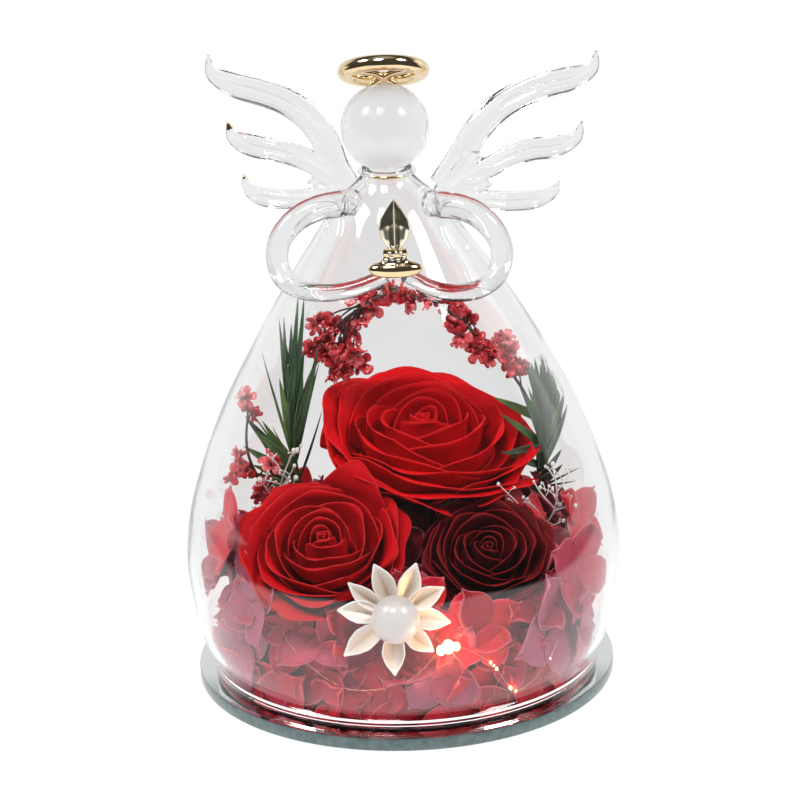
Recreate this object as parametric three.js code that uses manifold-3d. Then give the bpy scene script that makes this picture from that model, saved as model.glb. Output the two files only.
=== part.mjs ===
// Preserved roses under a blown-glass angel dome on a round mirror plate.
// Millimetres, +Z up, front towards -Y. The origin is the centre of the plate's underside.
import * as THREE from 'three';
import { mergeVertices } from 'three/addons/utils/BufferGeometryUtils.js';
import Module from 'manifold-3d';

const wasm = await Module();
wasm.setup();

// Driving dimensions
const GAP = 0.3;                                   // clearance between pieces that touch
const PLATE = { radius: 63.5, thickness: 4, edge: 0.5 };
const WALL = 2;                                    // glass of the dome
const DOME_FOOT = PLATE.thickness + 0.05;          // the lip rests on the plate
// Outside of the glass from the lip to the neck, as [radius, height above the plate's top]
const DOME_OUTLINE = [
  [58.9, 1.2], [60.4, 6], [63.2, 15], [65.9, 34], [64.3, 49], [60, 64], [53, 82], [43.6, 100.5],
  [33.5, 118], [24.4, 132], [15.6, 145], [10, 150.8], [7.5, 153.8], [7.3, 155.8],
];
const LEAN = { from: 100, to: 172, shift: -1.9 };  // the glass leans a little towards -X at the top
const HEAD = { radius: 13, height: 172 };
const COLLAR = { radius: 8.2, halfWidth: 0.5, height: 158.9 };
const HALO = { radius: 11.2, thickness: 2.35, height: 187.4, back: 3.5, tilt: 33 };
const HANDS = { back: -31, wrist: 144.6, tips: 159.4, halfWidth: 4.8, depth: 2.3 };
const FOAM = { radius: 35, bottom: PLATE.thickness + 0.2, top: 28 };
const PETAL = { thickness: 0.45, columns: 4, rows: 3 };

const rad = THREE.MathUtils.degToRad;
const mix = THREE.MathUtils.lerp;
const smooth = (x, low, high) => THREE.MathUtils.smoothstep(x, low, high);
const v3 = (x, y, z) => new THREE.Vector3(x, y, z);
const leanAt = (z) => LEAN.shift * smooth(z, LEAN.from, LEAN.to);
const vectors = (points) => points.map(([x, y, z]) => v3(x, y, z));

const finish = (color, roughness, metalness = 0, opacity = 1) => new THREE.MeshStandardMaterial({
  color, roughness, metalness, opacity, transparent: opacity < 1,
});
const MATERIAL = {
  mirror: finish('#cfd8d6', 0.05, 0.9),
  clearGlass: finish('#eef4f4', 0.03, 0, 0.3),
  gold: finish('#c79a4b', 0.15, 1),
  redPetal: finish('#b3060f', 0.6),
  darkPetal: finish('#5c0610', 0.6),
  stem: finish('#3d4a26', 0.7),
  hydrangea: finish('#a52a40', 0.75),
  leaf: finish('#27492b', 0.5),
  blossom: finish('#b81b2b', 0.7),
  twig: finish('#efe9df', 0.6),
  foam: finish('#3c4a30', 0.95),
  enamel: finish('#f3e9dc', 0.3),
  pearl: finish('#f6efe8', 0.2),
  copper: finish('#b9774a', 0.3, 1),
};

// Meshes and solids

function withoutSlivers(geometry) {
  const index = geometry.index.array;
  const kept = [];
  for (let i = 0; i < index.length; i += 3) {
    const [a, b, c] = [index[i], index[i + 1], index[i + 2]];
    if (a !== b && b !== c && a !== c) kept.push(a, b, c);
  }
  geometry.setIndex(kept);
  return geometry;
}

function signedVolume(geometry) {
  const place = geometry.attributes.position;
  const index = geometry.index.array;
  const corner = [v3(0, 0, 0), v3(0, 0, 0), v3(0, 0, 0)];
  let volume = 0;
  for (let i = 0; i < index.length; i += 3) {
    corner.forEach((p, k) => p.fromBufferAttribute(place, index[i + k]));
    volume += corner[0].dot(corner[1].clone().cross(corner[2])) / 6;
  }
  return volume;
}

// One closed skin with shared corners and its faces pointing out
function closed(geometry) {
  geometry.deleteAttribute('normal');
  geometry.deleteAttribute('uv');
  const welded = withoutSlivers(mergeVertices(geometry, 1e-4));
  if (signedVolume(welded) < 0) welded.setIndex([...welded.index.array].reverse());
  return welded;
}

function meshOf(positions, triangles) {
  const geometry = new THREE.BufferGeometry();
  geometry.setAttribute('position', new THREE.Float32BufferAttribute(positions.flat(), 3));
  geometry.setIndex(triangles.flat());
  return closed(geometry);
}

function toSolid(geometry) {
  return new wasm.Manifold(new wasm.Mesh({
    numProp: 3,
    vertProperties: new Float32Array(geometry.attributes.position.array),
    triVerts: new Uint32Array(geometry.index.array),
  }));
}

function toGeometry(solid) {
  const mesh = solid.getMesh();
  const geometry = new THREE.BufferGeometry();
  geometry.setAttribute('position', new THREE.BufferAttribute(new Float32Array(mesh.vertProperties), 3));
  geometry.setIndex([...mesh.triVerts]);
  return closed(geometry);
}

const fuse = (geometries) => geometries.map(toSolid).reduce((whole, next) => whole.add(next));
const carve = (solid, cutters) => cutters.reduce((left, cutter) => left.subtract(cutter), solid);
const isClear = (geometry, others) => others.every((other) => toSolid(geometry).intersect(other).isEmpty());

// A turned piece from an outline of [radius, height] points that starts and ends on the axis or closes
function turned(outline, segments) {
  const points = outline.map(([r, z]) => new THREE.Vector2(r, z));
  const first = points[0];
  if (first.distanceTo(points.at(-1)) > 1e-6 && first.x > 0) points.push(first.clone());
  const geometry = new THREE.LatheGeometry(points, segments);
  geometry.rotateX(Math.PI / 2);
  return closed(geometry);
}

// Rings of corners joined into a skin, with a flat fan over each end
function lofted(rings) {
  const count = rings[0].length;
  const positions = rings.flat().map((p) => [p.x, p.y, p.z]);
  const triangles = [];
  for (let j = 0; j + 1 < rings.length; j += 1) {
    for (let i = 0; i < count; i += 1) {
      const next = (i + 1) % count;
      const [a, b] = [j * count + i, j * count + next];
      triangles.push([a, b, b + count], [a, b + count, a + count]);
    }
  }
  for (const [ring, row, flip] of [[rings[0], 0, true], [rings.at(-1), rings.length - 1, false]]) {
    const middle = ring.reduce((sum, p) => sum.add(p), v3(0, 0, 0)).divideScalar(count);
    positions.push([middle.x, middle.y, middle.z]);
    const hub = positions.length - 1;
    for (let i = 0; i < count; i += 1) {
      const [a, b] = [row * count + i, row * count + (i + 1) % count];
      triangles.push(flip ? [hub, b, a] : [hub, a, b]);
    }
  }
  return meshOf(positions, triangles);
}

// A round rod along a smooth curve; radiusAt gives its radius from 0, the start, to 1, the end
function rod(points, radiusAt, sides, steps) {
  const curve = new THREE.CatmullRomCurve3(points);
  const frames = curve.computeFrenetFrames(steps);
  const rings = [];
  for (let j = 0; j <= steps; j += 1) {
    const centre = curve.getPointAt(j / steps);
    const radius = radiusAt(j / steps);
    rings.push(Array.from({ length: sides }, (_, i) => {
      const turn = (2 * Math.PI * i) / sides;
      return centre.clone()
        .addScaledVector(frames.normals[j], radius * Math.cos(turn))
        .addScaledVector(frames.binormals[j], radius * Math.sin(turn));
    }));
  }
  return lofted(rings);
}

// A thin sheet with both faces and its edges, from a grid of points
function sheet(grid, thickness) {
  const rows = grid.length;
  const columns = grid[0].length;
  const at = (j, i) => grid[THREE.MathUtils.clamp(j, 0, rows - 1)][THREE.MathUtils.clamp(i, 0, columns - 1)];
  const sides = [1, -1].map((side) => grid.flatMap((row, j) => row.map((point, i) => {
    const along = at(j, i + 1).clone().sub(at(j, i - 1));
    const up = at(j + 1, i).clone().sub(at(j - 1, i));
    return point.clone().addScaledVector(along.cross(up).normalize(), (side * thickness) / 2);
  })));
  const positions = sides.flat().map((p) => [p.x, p.y, p.z]);
  const back = rows * columns;
  const triangles = [];
  for (let j = 0; j + 1 < rows; j += 1) {
    for (let i = 0; i + 1 < columns; i += 1) {
      const [a, b] = [j * columns + i, j * columns + i + 1];
      const [c, d] = [a + columns, b + columns];
      triangles.push([a, b, d], [a, d, c], [a + back, d + back, b + back], [a + back, c + back, d + back]);
    }
  }
  const rim = [
    ...Array.from({ length: columns }, (_, i) => i),
    ...Array.from({ length: rows - 1 }, (_, j) => (j + 2) * columns - 1),
    ...Array.from({ length: columns - 1 }, (_, i) => rows * columns - 2 - i),
    ...Array.from({ length: rows - 2 }, (_, j) => (rows - 2 - j) * columns),
  ];
  rim.forEach((a, k) => {
    const b = rim[(k + 1) % rim.length];
    triangles.push([b, a, a + back], [b, a + back, b + back]);
  });
  return meshOf(positions, triangles);
}

// The dome of blown glass

const outlineCurve = new THREE.SplineCurve(
  DOME_OUTLINE.map(([r, height]) => new THREE.Vector2(r, height + PLATE.thickness)),
);

function domeRadius(z) {
  const points = DOME_OUTLINE.map(([r, height]) => [r, height + PLATE.thickness]);
  const next = points.findIndex(([, height]) => height > z);
  if (next < 1) return next === 0 ? points[0][0] : points.at(-1)[0];
  const [[r0, z0], [r1, z1]] = [points[next - 1], points[next]];
  return mix(r0, r1, (z - z0) / (z1 - z0));
}

function leaned(geometry) {
  const place = geometry.attributes.position;
  for (let i = 0; i < place.count; i += 1) place.setX(i, place.getX(i) + leanAt(place.getZ(i)));
  return geometry;
}

// The outline moved outwards by an offset, or inwards by a negative one
function domeWall(offset) {
  return DOME_OUTLINE.map((_, k) => {
    const t = k / (DOME_OUTLINE.length - 1);
    const point = outlineCurve.getPoint(t);
    const along = outlineCurve.getTangent(t);
    return [point.x + offset * along.y, point.y - offset * along.x];
  });
}

const DOME_SEGMENTS = 30;

function glassDome() {
  const outside = domeWall(0);
  const inside = domeWall(-WALL).reverse();
  const lip = [[56.9, DOME_FOOT + 0.25], [57.6, DOME_FOOT], [58.4, DOME_FOOT + 0.25]];
  return leaned(turned([...lip, ...outside, ...inside], DOME_SEGMENTS));
}

// The dome filled in, grown by the gap, for trimming what is fused to its outside
function domeKeepOut() {
  const skin = domeWall(GAP);
  return toSolid(leaned(turned([[0, skin[0][1]], ...skin, [0, skin.at(-1)[1]]], DOME_SEGMENTS)));
}

function neckCollar() {
  const sides = 5;
  const ring = Array.from({ length: sides }, (_, i) => {
    const turn = (2 * Math.PI * i) / sides;
    const { radius, halfWidth, height } = COLLAR;
    return [radius + halfWidth * Math.cos(turn), height + halfWidth * Math.sin(turn)];
  });
  return leaned(turned(ring, 20));
}

function headBall() {
  return closed(new THREE.SphereGeometry(HEAD.radius, 18, 12).rotateX(Math.PI / 2));
}

// The halo is one piece with the two crossing struts that stand on the head
function haloRing() {
  const ring = closed(new THREE.TorusGeometry(HALO.radius, HALO.thickness, 8, 20));
  const struts = [-1, 1].map((side) => rod(vectors([
    [-side * 8.8, -4.5, -0.4], [-side * 2.5, 0.2, -0.7], [side * 3.5, 4.5, -3.2],
  ]), () => 0.9, 5, 3));
  const head = v3(0, -HALO.back, HEAD.height - HALO.height).applyAxisAngle(v3(1, 0, 0), rad(HALO.tilt));
  const room = new THREE.SphereGeometry(HEAD.radius + 2 * GAP, 16, 12).translate(head.x, head.y, head.z);
  return carve(fuse([ring, ...struts]), [toSolid(closed(room))]);
}

// Wings: three sabre feathers each, with a groove along the front and glass webs in their forks

const WING = {
  left: {
    top: [[-53.7, 17, 190.9], [-52.7, 17, 185.3], [-46.9, 16.5, 181.9], [-39.3, 16, 179.6],
      [-31.4, 15, 176.6], [-24.7, 14, 171.8], [-19.8, 12.5, 165], [-16.8, 11, 157.6], [-13, 9, 151]],
    middle: [[-48.9, 16.5, 170.6], [-47, 16.5, 165.5], [-41.1, 16, 162.7], [-33.4, 15, 161.2],
      [-26.9, 14, 159.2], [-21, 12.5, 155.7], [-13, 9, 150.5]],
    low: [[-44.7, 15.5, 154.4], [-43.1, 15.5, 149.5], [-38.1, 15, 147], [-31.5, 14, 146.5],
      [-24.9, 12.5, 147.1], [-12, 8.5, 149.5]],
    webs: [[[-24.8, 13.8, 164.6], [-19.5, 12, 159.6], [-13, 9, 151]],
      [[-28.6, 13.6, 152.4], [-21, 12, 151.6], [-13, 9, 150.3]]],
  },
  right: {
    top: [[61.4, 17, 189.1], [60, 17, 183.5], [53.7, 16.5, 180.7], [46.5, 16, 179.3], [39.3, 15, 177],
      [32.1, 14, 173.2], [25.7, 12.5, 167.3], [20.7, 11, 159.9], [14, 9, 151]],
    middle: [[56.8, 16.5, 167.5], [55, 16.5, 162.5], [48.9, 16, 160], [41.7, 15, 159.6], [34.5, 14, 157.9],
      [27.5, 12.5, 154.9], [14, 9, 149.5]],
    low: [[50, 15.5, 149.7], [47.8, 15.5, 145.9], [42.4, 15, 144], [35.4, 14, 143.9], [28.8, 12.5, 144.9],
      [12, 8.5, 148.7]],
    webs: [[[28.9, 13.8, 162.2], [22.5, 12, 157.6], [14, 9, 151]],
      [[33.5, 13.6, 149.6], [25, 12, 150], [14, 9, 149.4]]],
  },
};
const FEATHER_SECTION = [[-1, 0], [-0.55, -0.8], [0, -0.35], [0.55, -0.8], [1, 0], [0.5, 0.7], [-0.5, 0.7]];

function feather(points, widest, steps = 7) {
  const curve = new THREE.CatmullRomCurve3(vectors(points));
  const rings = Array.from({ length: steps + 1 }, (_, j) => {
    const t = j / steps;
    const centre = curve.getPointAt(t);
    const across = curve.getTangentAt(t).cross(v3(0, 1, 0)).normalize();
    const spread = Math.sin((Math.PI / 2) * Math.min(1, t / 0.3)) * (1 - 0.12 * smooth(t, 0.6, 1));
    const halfWidth = mix(0.35, widest, spread);
    const halfDepth = mix(0.35, 1.9, Math.min(1, 2.2 * t));
    return FEATHER_SECTION.map(([w, d]) => centre.clone()
      .addScaledVector(across, w * halfWidth)
      .add(v3(0, d * halfDepth, 0)));
  });
  return lofted(rings);
}

function wing(side) {
  const { top, middle, low, webs } = WING[side];
  const between = webs.map((points) => feather(points, 2.9, 3));
  const whole = fuse([feather(top, 4.3), feather(middle, 3.6), feather(low, 3.1), ...between]);
  return carve(whole, [domeKeepOut()]);
}

// Arms: bent glass rods from the shoulders round to the hands

const ARM = {
  left: [[-9, -5, 151], [-21, -9, 150.8], [-28.4, -11, 148], [-33.3, -13, 142.9], [-34.6, -15, 137.5],
    [-33, -18, 132.5], [-28.1, -21, 129.7], [-20.7, -25, 129.6], [-13.4, -28, 131.3], [-6.9, -30, 134.2],
    [-2.8, -31, 136.3]],
  right: [[8, -5, 149.8], [19.4, -9, 149.6], [26.1, -11, 146.4], [30.3, -13, 141], [31.3, -15, 135.5],
    [29.1, -18, 130.7], [24, -21, 128.1], [17.1, -25.5, 128.6], [10.5, -28.5, 131.3], [5.8, -30, 134.4],
    [2.8, -31, 136.3]],
};

function arm(side) {
  const radiusAt = (t) => mix(4.2, 2.1, smooth(t, 0.05, 0.9));
  return carve(toSolid(rod(vectors(ARM[side]), radiusAt, 7, 16)), [domeKeepOut(), cuffKeepOut()]);
}

// Cuff and hands share one oval outline that narrows at the wrist
function oval(outline, sides, grow = 0) {
  return lofted(outline.map(([halfWidth, halfDepth, z]) => Array.from({ length: sides }, (_, i) => {
    const turn = (2 * Math.PI * i) / sides;
    return v3((halfWidth + grow) * Math.cos(turn), HANDS.back + (halfDepth + grow) * Math.sin(turn), z);
  })));
}

const CUFF_OUTLINE = [
  [6.2, 2.4, 136.6], [7.9, 3.4, 138.4], [6.6, 3.3, 140.2], [4, 3, 142], [3.5, 2.7, 144.3],
];
const cuffKeepOut = () => toSolid(oval(CUFF_OUTLINE.map(([w, d, z], k) => [w, d, k ? z : z - GAP]), 14, GAP));
const giltCuff = () => oval(CUFF_OUTLINE, 14);

// Palms pressed together, fingertips up, with a seam between the two hands
function prayingHands() {
  const rise = HANDS.tips - HANDS.wrist - GAP;
  const rings = Array.from({ length: 8 }, (_, j) => {
    const t = j / 7;
    const halfWidth = mix(3.1, 0.25, t ** 3) + (HANDS.halfWidth - 3.1) * Math.sin(Math.PI * t ** 0.9);
    const depth = HANDS.depth * mix(1, 0.35, t ** 2);
    const z = HANDS.wrist + GAP + rise * t;
    const section = [[-1, 0], [-0.6, -0.85], [-0.12, -1], [0, -0.55], [0.12, -1], [0.6, -0.85], [1, 0],
      [0.55, 0.9], [-0.55, 0.9]];
    return section.map(([w, d]) => v3(w * halfWidth, HANDS.back + d * depth, z));
  });
  return lofted(rings);
}

// Roses: each petal rises from its foot, out along its belly and up its wall to a rim that rolls outwards

// A point of a petal's profile for a rose of size 1, at s from 0, the foot, to 1, the rim
function petalProfile(rim, height, s) {
  const curve = new THREE.CubicBezierCurve(
    new THREE.Vector2(0.05 + 0.1 * rim, -0.12 * rim),
    new THREE.Vector2(0.05 + 0.8 * rim, -0.07 * rim),
    new THREE.Vector2(0.99 * rim, 0.5 * height),
    new THREE.Vector2(rim, height),
  );
  return curve.getPoint(Math.min(1, s));
}

// Outer rims sink by the rose's droop, and its lift stands them higher toward one side
function rimHeight({ rim, height }, { droop, lift }, turn) {
  const [share, toward] = lift;
  return CROWN - (CROWN - height) * droop + share * Math.cos(turn - rad(toward)) * Math.max(0, rim - 0.5);
}

function rosePetal(rose, whorl, azimuth, halfAngle) {
  const { size } = rose;
  const { rim, twist, roll } = whorl;
  const grid = [];
  for (let j = 0; j <= PETAL.rows; j += 1) {
    const v = j / PETAL.rows;
    grid.push(Array.from({ length: PETAL.columns + 1 }, (_, i) => {
      const u = (2 * i) / PETAL.columns - 1;
      const s = v * (1 - 0.26 * Math.abs(u) ** 2.4 * v);
      const turn = rad(azimuth + u * halfAngle * (0.6 + 0.4 * Math.sin((Math.PI / 2) * v)));
      const { x, y } = petalProfile(rim * (1 + twist * u), rimHeight(whorl, rose, turn), s);
      const lip = roll * smooth(s, 0.6, 1.05);
      const r = size * (x + 0.9 * lip);
      return v3(r * Math.cos(turn), r * Math.sin(turn), size * (y - 2.2 * lip * lip));
    }));
  }
  return sheet(grid, PETAL.thickness);
}

// The rolled heart: one spiral ribbon that widens upwards
function roseHeart(size) {
  const turns = 2;
  const stations = 7 * turns;
  const ribbon = { outer: 0.26 * size, inner: 0.07 * size, thickness: 0.03 * size };
  const spiral = (thickness) => Array.from({ length: stations + 1 }, (_, k) => {
    const turn = (2 * Math.PI * turns * k) / stations;
    const r = mix(ribbon.outer, ribbon.inner, k / stations) - thickness;
    return new THREE.Vector2(r * Math.cos(turn), r * Math.sin(turn));
  });
  const shape = new THREE.Shape([...spiral(0), ...spiral(ribbon.thickness).reverse()]);
  const height = CROWN * size;
  const geometry = new THREE.ExtrudeGeometry(shape, { depth: height, steps: 2, bevelEnabled: false });
  const place = geometry.attributes.position;
  for (let i = 0; i < place.count; i += 1) {
    const scale = mix(0.22, 1, Math.sin((Math.PI / 2) * (place.getZ(i) / height)) ** 0.8);
    place.setXY(i, place.getX(i) * scale, place.getY(i) * scale);
  }
  return closed(geometry);
}

// Receptacle and cut stem under the petals
function roseStem(size, length) {
  const seat = -0.17 * size;
  return turned([
    [0, -0.6], [0.075 * size, -1], [0.08 * size, seat], [0.25 * size, seat - 0.2], [0.2 * size, seat - 2.2],
    [2, seat - 4.5], [1.7, seat - 4.5 - length], [0, seat - 4.5 - length],
  ], 8);
}

// Everything a rose fills, grown by the gap, for trimming its neighbours
function roseKeepOut(rose) {
  const [share, toward] = rose.lift;
  const lowest = rimHeight(WHORL.outer, rose, rad(toward + 180));
  const skin = [0, 0.15, 0.3, 0.5, 0.75, 1].map((s) => {
    const { x, y } = petalProfile(1.03, lowest, s);
    const lip = 1.1 * WHORL.outer.roll * smooth(s, 0.6, 1.05);
    return [rose.size * (x + 0.9 * lip) + 2 * GAP, rose.size * (y - 2.2 * lip * lip) - 2 * GAP];
  });
  const rim = skin.at(-1);
  const outline = [[0, skin[0][1]], ...skin, [rim[0], rim[1] + (0.2 + share) * rose.size],
    [0.55 * rose.size, 0.72 * rose.size], [0, 0.75 * rose.size]];
  const group = roseGroup(rose);
  group.updateMatrixWorld(true);
  return toSolid(closed(turned(outline, 14).applyMatrix4(group.matrixWorld)));
}

// Whorls from the heart outwards: petals of one whorl overlap like a pinwheel.
// Rim radius and height are shares of the rose's size.
const CROWN = 0.615;
const WHORL = {
  inner: { rim: 0.42, height: 0.6, twist: 0.1, roll: 0 },
  middle: { rim: 0.73, height: 0.52, twist: 0.08, roll: 0.03 },
  outer: { rim: 0.96, height: 0.3, twist: 0.07, roll: 0.11 },
};
const ROSES = [
  {
    name: 'top_rose', size: 30, place: [9.3, 11.3, 61.3], forward: 10, sideways: 0, droop: 0.72, stem: 23.6,
    lift: [0.42, 150], petal: 'redPetal', whorls: [['inner', 3, 70], ['middle', 3, 105], ['outer', 4, -8]],
  },
  {
    name: 'left_rose', size: 22.5, place: [-22.6, -26, 44.6], forward: 27, sideways: -3, droop: 0.55, stem: 9.2,
    lift: [0.1, 90], petal: 'redPetal', whorls: [['inner', 3, 30], ['middle', 3, 85], ['outer', 3, 2]],
  },
  {
    name: 'dark_rose', size: 17.7, place: [25.1, -22.8, 41.8], forward: 34, sideways: 4, droop: 0.5, stem: 7.8,
    lift: [0.1, 90], petal: 'darkPetal', whorls: [['inner', 3, 95], ['middle', 3, 30], ['outer', 3, 56]],
  },
];

function roseGroup({ place, forward, sideways }) {
  const group = new THREE.Group();
  group.position.set(...place);
  group.rotation.set(rad(forward), rad(sideways), 0);
  return group;
}

// Hydrangea heads fill the ring between the foam and the glass

const HYDRANGEA = { inner: FOAM.radius + 2, glassGap: 6, names: ['front', 'right', 'back', 'left'] };
// Height of the flowers round the ring: low in front under the roses, higher at the sides
const hydrangeaTop = (turn) => 36 + 17 * Math.max(0, Math.cos(turn)) ** 2
  + 12 * Math.max(0, -Math.cos(turn)) ** 2 + 6 * Math.max(0, Math.sin(turn));

function hydrangeaSector(index) {
  const width = (2 * Math.PI) / HYDRANGEA.names.length;
  const start = -Math.PI / 2 + width * (index - 0.5) + 0.008;
  const end = start + width - 0.016;
  const steps = 6;
  const rings = Array.from({ length: steps + 1 }, (_, j) => {
    const turn = mix(start, end, j / steps);
    const top = hydrangeaTop(turn);
    const bump = j % 2 ? 1.1 : -0.6;
    const levels = [4.6, 10, 20, 0.72 * top, 0.93 * top];
    const outside = levels.map((z, k) => {
      const wave = (k % 2 ? bump : -bump) * 0.8;
      return [domeRadius(z) - WALL - HYDRANGEA.glassGap + wave - (k === 4 ? 3 : 0), z];
    });
    const crown = [[50, top + bump], [44, top - 1 - bump], [HYDRANGEA.inner + 0.5, 0.86 * top + bump]];
    const section = [...outside, ...crown, [HYDRANGEA.inner, 4.6]];
    return section.map(([r, z]) => v3(r * Math.cos(turn), r * Math.sin(turn), z));
  });
  return toSolid(lofted(rings));
}

// Greenery: narrow pointed leaves on a thin stem

function insideGlass(point, margin = 2) {
  const limit = domeRadius(point.z) - WALL - margin;
  const distance = Math.hypot(point.x, point.y);
  if (distance > limit) point.multiply(v3(limit / distance, limit / distance, 1));
  return point;
}

function leafBlade(base, tip, halfWidth) {
  const along = tip.clone().sub(base);
  const facing = v3(base.x, base.y, 20).normalize();
  const across = along.clone().cross(facing).normalize();
  const rings = [[0, 0.3, 0], [0.45, 1, 1], [1, 0.06, 0]].map(([t, width, bow]) => {
    const centre = base.clone().addScaledVector(along, t).addScaledVector(facing, 1.2 * bow);
    return [[-1, 0], [0, -0.45], [1, 0]].map(([w, d]) => centre.clone()
      .addScaledVector(across, w * halfWidth * width)
      .addScaledVector(facing, d * Math.max(0.4, width)));
  });
  return lofted(rings);
}

const LEAF_SPRAYS = [
  {
    name: 'leaf_spray_left',
    stem: [[-24, 6, 28.4], [-31, 5, 58], [-33, 4, 80], [-33, 3, 98]],
    blades: [[0.34, -13, -5, 24], [0.44, -8, 9, 26], [0.5, -13, 1, 28], [0.58, 3, -8, 28], [0.66, -9, -5, 28],
      [0.74, 7, 3, 26], [0.82, -6, 3, 24], [0.9, 6, -3, 22], [0.97, 1, 1, 18]],
  },
  {
    name: 'leaf_spray_right',
    stem: [[28, 10, 28.4], [41, 13, 52], [45, 14, 70], [42, 13, 86]],
    blades: [[0.44, 9, -8, 20], [0.5, 7, 8, 22], [0.54, 6, -9, 24], [0.64, -4, 9, 22], [0.72, 4, -6, 22],
      [0.8, -10, -2, 18], [0.88, -5, 5, 16], [0.96, -4, -2, 14]],
  },
];

// Blades, buds and forks that would run into a neighbour are left out
function leafSpray({ stem, blades }, neighbours) {
  const curve = new THREE.CatmullRomCurve3(vectors(stem));
  const pieces = blades.map(([t, dx, dy, dz]) => {
    const base = curve.getPointAt(t);
    const tip = insideGlass(base.clone().add(v3(dx, dy, dz)));
    return leafBlade(base, tip, 1.9);
  });
  const main = rod(vectors(stem), (t) => mix(1, 0.5, t), 4, 6);
  return fuse([main, ...pieces.filter((one) => isClear(one, neighbours))]);
}

// Blossom branches: thin stems with small trumpet flowers fused to them

const BLOSSOM_BRANCHES = [
  {
    name: 'blossom_branch_left',
    stem: [[-26, 18, 28.4], [-33, 23, 58], [-29, 19, 84], [-20, 14, 102], [-10, 9, 114], [1, 6, 120]],
    blossoms: [[0.62, -3, -3, 1], [0.66, 3, 2, 0], [0.7, -3, 2, 2], [0.74, 3, -3, 0], [0.78, -3, -1, 2],
      [0.82, 2, 3, 1], [0.85, -1, -3, 1], [0.89, 1, 1, -3], [0.93, -1, -2, 2], [0.97, 1, 2, -2],
      [0.99, 1, -3, 1]],
  },
  {
    name: 'blossom_branch_right',
    stem: [[26, 20, 28.4], [45, 25, 58], [39, 21, 80], [28, 15, 97], [17, 10, 110], [7, 7, 118]],
    blossoms: [[0.6, 3, -3, 0], [0.66, -3, 2, 2], [0.71, 2, 3, 1], [0.76, -2, -3, 1], [0.8, 3, 1, 1],
      [0.85, -1, 3, 2], [0.89, 2, -2, 0], [0.93, -2, 1, 2], [0.97, 1, -2, -2]],
  },
  {
    name: 'blossom_sprig_left',
    stem: [[-29, 2, 28.4], [-40, -1, 56], [-46, -2, 72], [-45, -1, 88]],
    blossoms: [[0.62, -2, -3, 0], [0.7, 3, 1, 1], [0.77, -2, 2, 1], [0.85, 2, -3, 1], [0.93, -1, 1, 2],
      [0.99, 1, -1, 2]],
  },
];

function blossomBranch({ stem, blossoms }, neighbours) {
  const curve = new THREE.CatmullRomCurve3(vectors(stem));
  const pieces = blossoms.map(([t, dx, dy, dz], k) => {
    const centre = insideGlass(curve.getPointAt(t).add(v3(dx, dy, dz).multiplyScalar(0.45)), 3.2);
    const bud = new THREE.OctahedronGeometry(3.1, 0);
    bud.rotateX(k * 1.3).rotateZ(k * 0.9).translate(centre.x, centre.y, centre.z);
    return closed(bud);
  });
  const main = rod(vectors(stem), (t) => mix(0.8, 0.5, t), 4, 8);
  return fuse([main, ...pieces.filter((one) => isClear(one, neighbours))]);
}

// Fine white twigs, forked near the top
const WHITE_TWIGS = [
  {
    name: 'white_twig_left', stem: [[-32, -2, 28.4], [-37.5, -4, 52], [-36, -6, 64], [-32, -7, 74]],
    forks: [[0.6, -5, -4, 10], [0.7, 5, -3, 9], [0.8, -4, -2, 8]],
  },
  {
    name: 'white_twig_right', stem: [[31, -6, 28.4], [43, -13, 50], [46, -16, 60], [45, -14, 70]],
    forks: [[0.62, 5, -2, 8], [0.7, -6, 2, 8], [0.82, 4, 3, 6]],
  },
];

function whiteTwig({ stem, forks }, neighbours) {
  const curve = new THREE.CatmullRomCurve3(vectors(stem));
  const pieces = forks.map(([t, dx, dy, dz]) => {
    const base = curve.getPointAt(t);
    const tip = insideGlass(base.clone().add(v3(dx, dy, dz)));
    return rod([base, base.clone().lerp(tip, 0.5).add(v3(0, -0.5, 0.5)), tip], () => 0.4, 3, 2);
  });
  const main = rod(vectors(stem), (t) => mix(0.6, 0.4, t), 3, 5);
  return fuse([main, ...pieces.filter((one) => isClear(one, neighbours))]);
}

// Brooch: folded enamel petals round a pearl, turned to the front
const BROOCH = {
  place: [-2.9, -46.7, 35.6], tilt: 70, pearl: 7.1, backing: 1.4, room: 18.6,
  // Direction of each petal from the right, its reach and its half width
  petals: [[110, 17.2, 3.5], [68, 17.4, 3.5], [31, 17, 3.3], [-5, 16.2, 3.4], [-42, 14.6, 3.2],
    [-92, 16.6, 3.5], [-146, 18.2, 3.5], [170, 17.2, 3.6], [141, 17.4, 2.9]],
};

function broochGroup() {
  const group = new THREE.Group();
  group.position.set(...BROOCH.place);
  group.rotation.set(rad(BROOCH.tilt), 0, 0);
  return group;
}

function broochFlower() {
  const rings = [[0.16, 0.5, 0], [0.55, 1, 1.8], [1, 0.07, 4.4]];
  const section = [[-1, 1.3], [0, 0], [1, 1.3], [0, -0.9]];
  const petals = BROOCH.petals.map(([angle, reach, halfWidth]) => lofted(rings.map(([t, width, rise]) => (
    section.map(([w, lift]) => v3(reach * t, w * halfWidth * width, rise + 0.9 * lift * width))
  ))).rotateZ(rad(angle)));
  const backing = closed(new THREE.CylinderGeometry(5, 5, BROOCH.backing, 9).rotateX(Math.PI / 2));
  return fuse([backing, ...petals]);
}

function pearl() {
  return closed(new THREE.SphereGeometry(BROOCH.pearl, 14, 10).rotateX(Math.PI / 2));
}
const PEARL_LIFT = BROOCH.backing / 2 + GAP + BROOCH.pearl;

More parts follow.
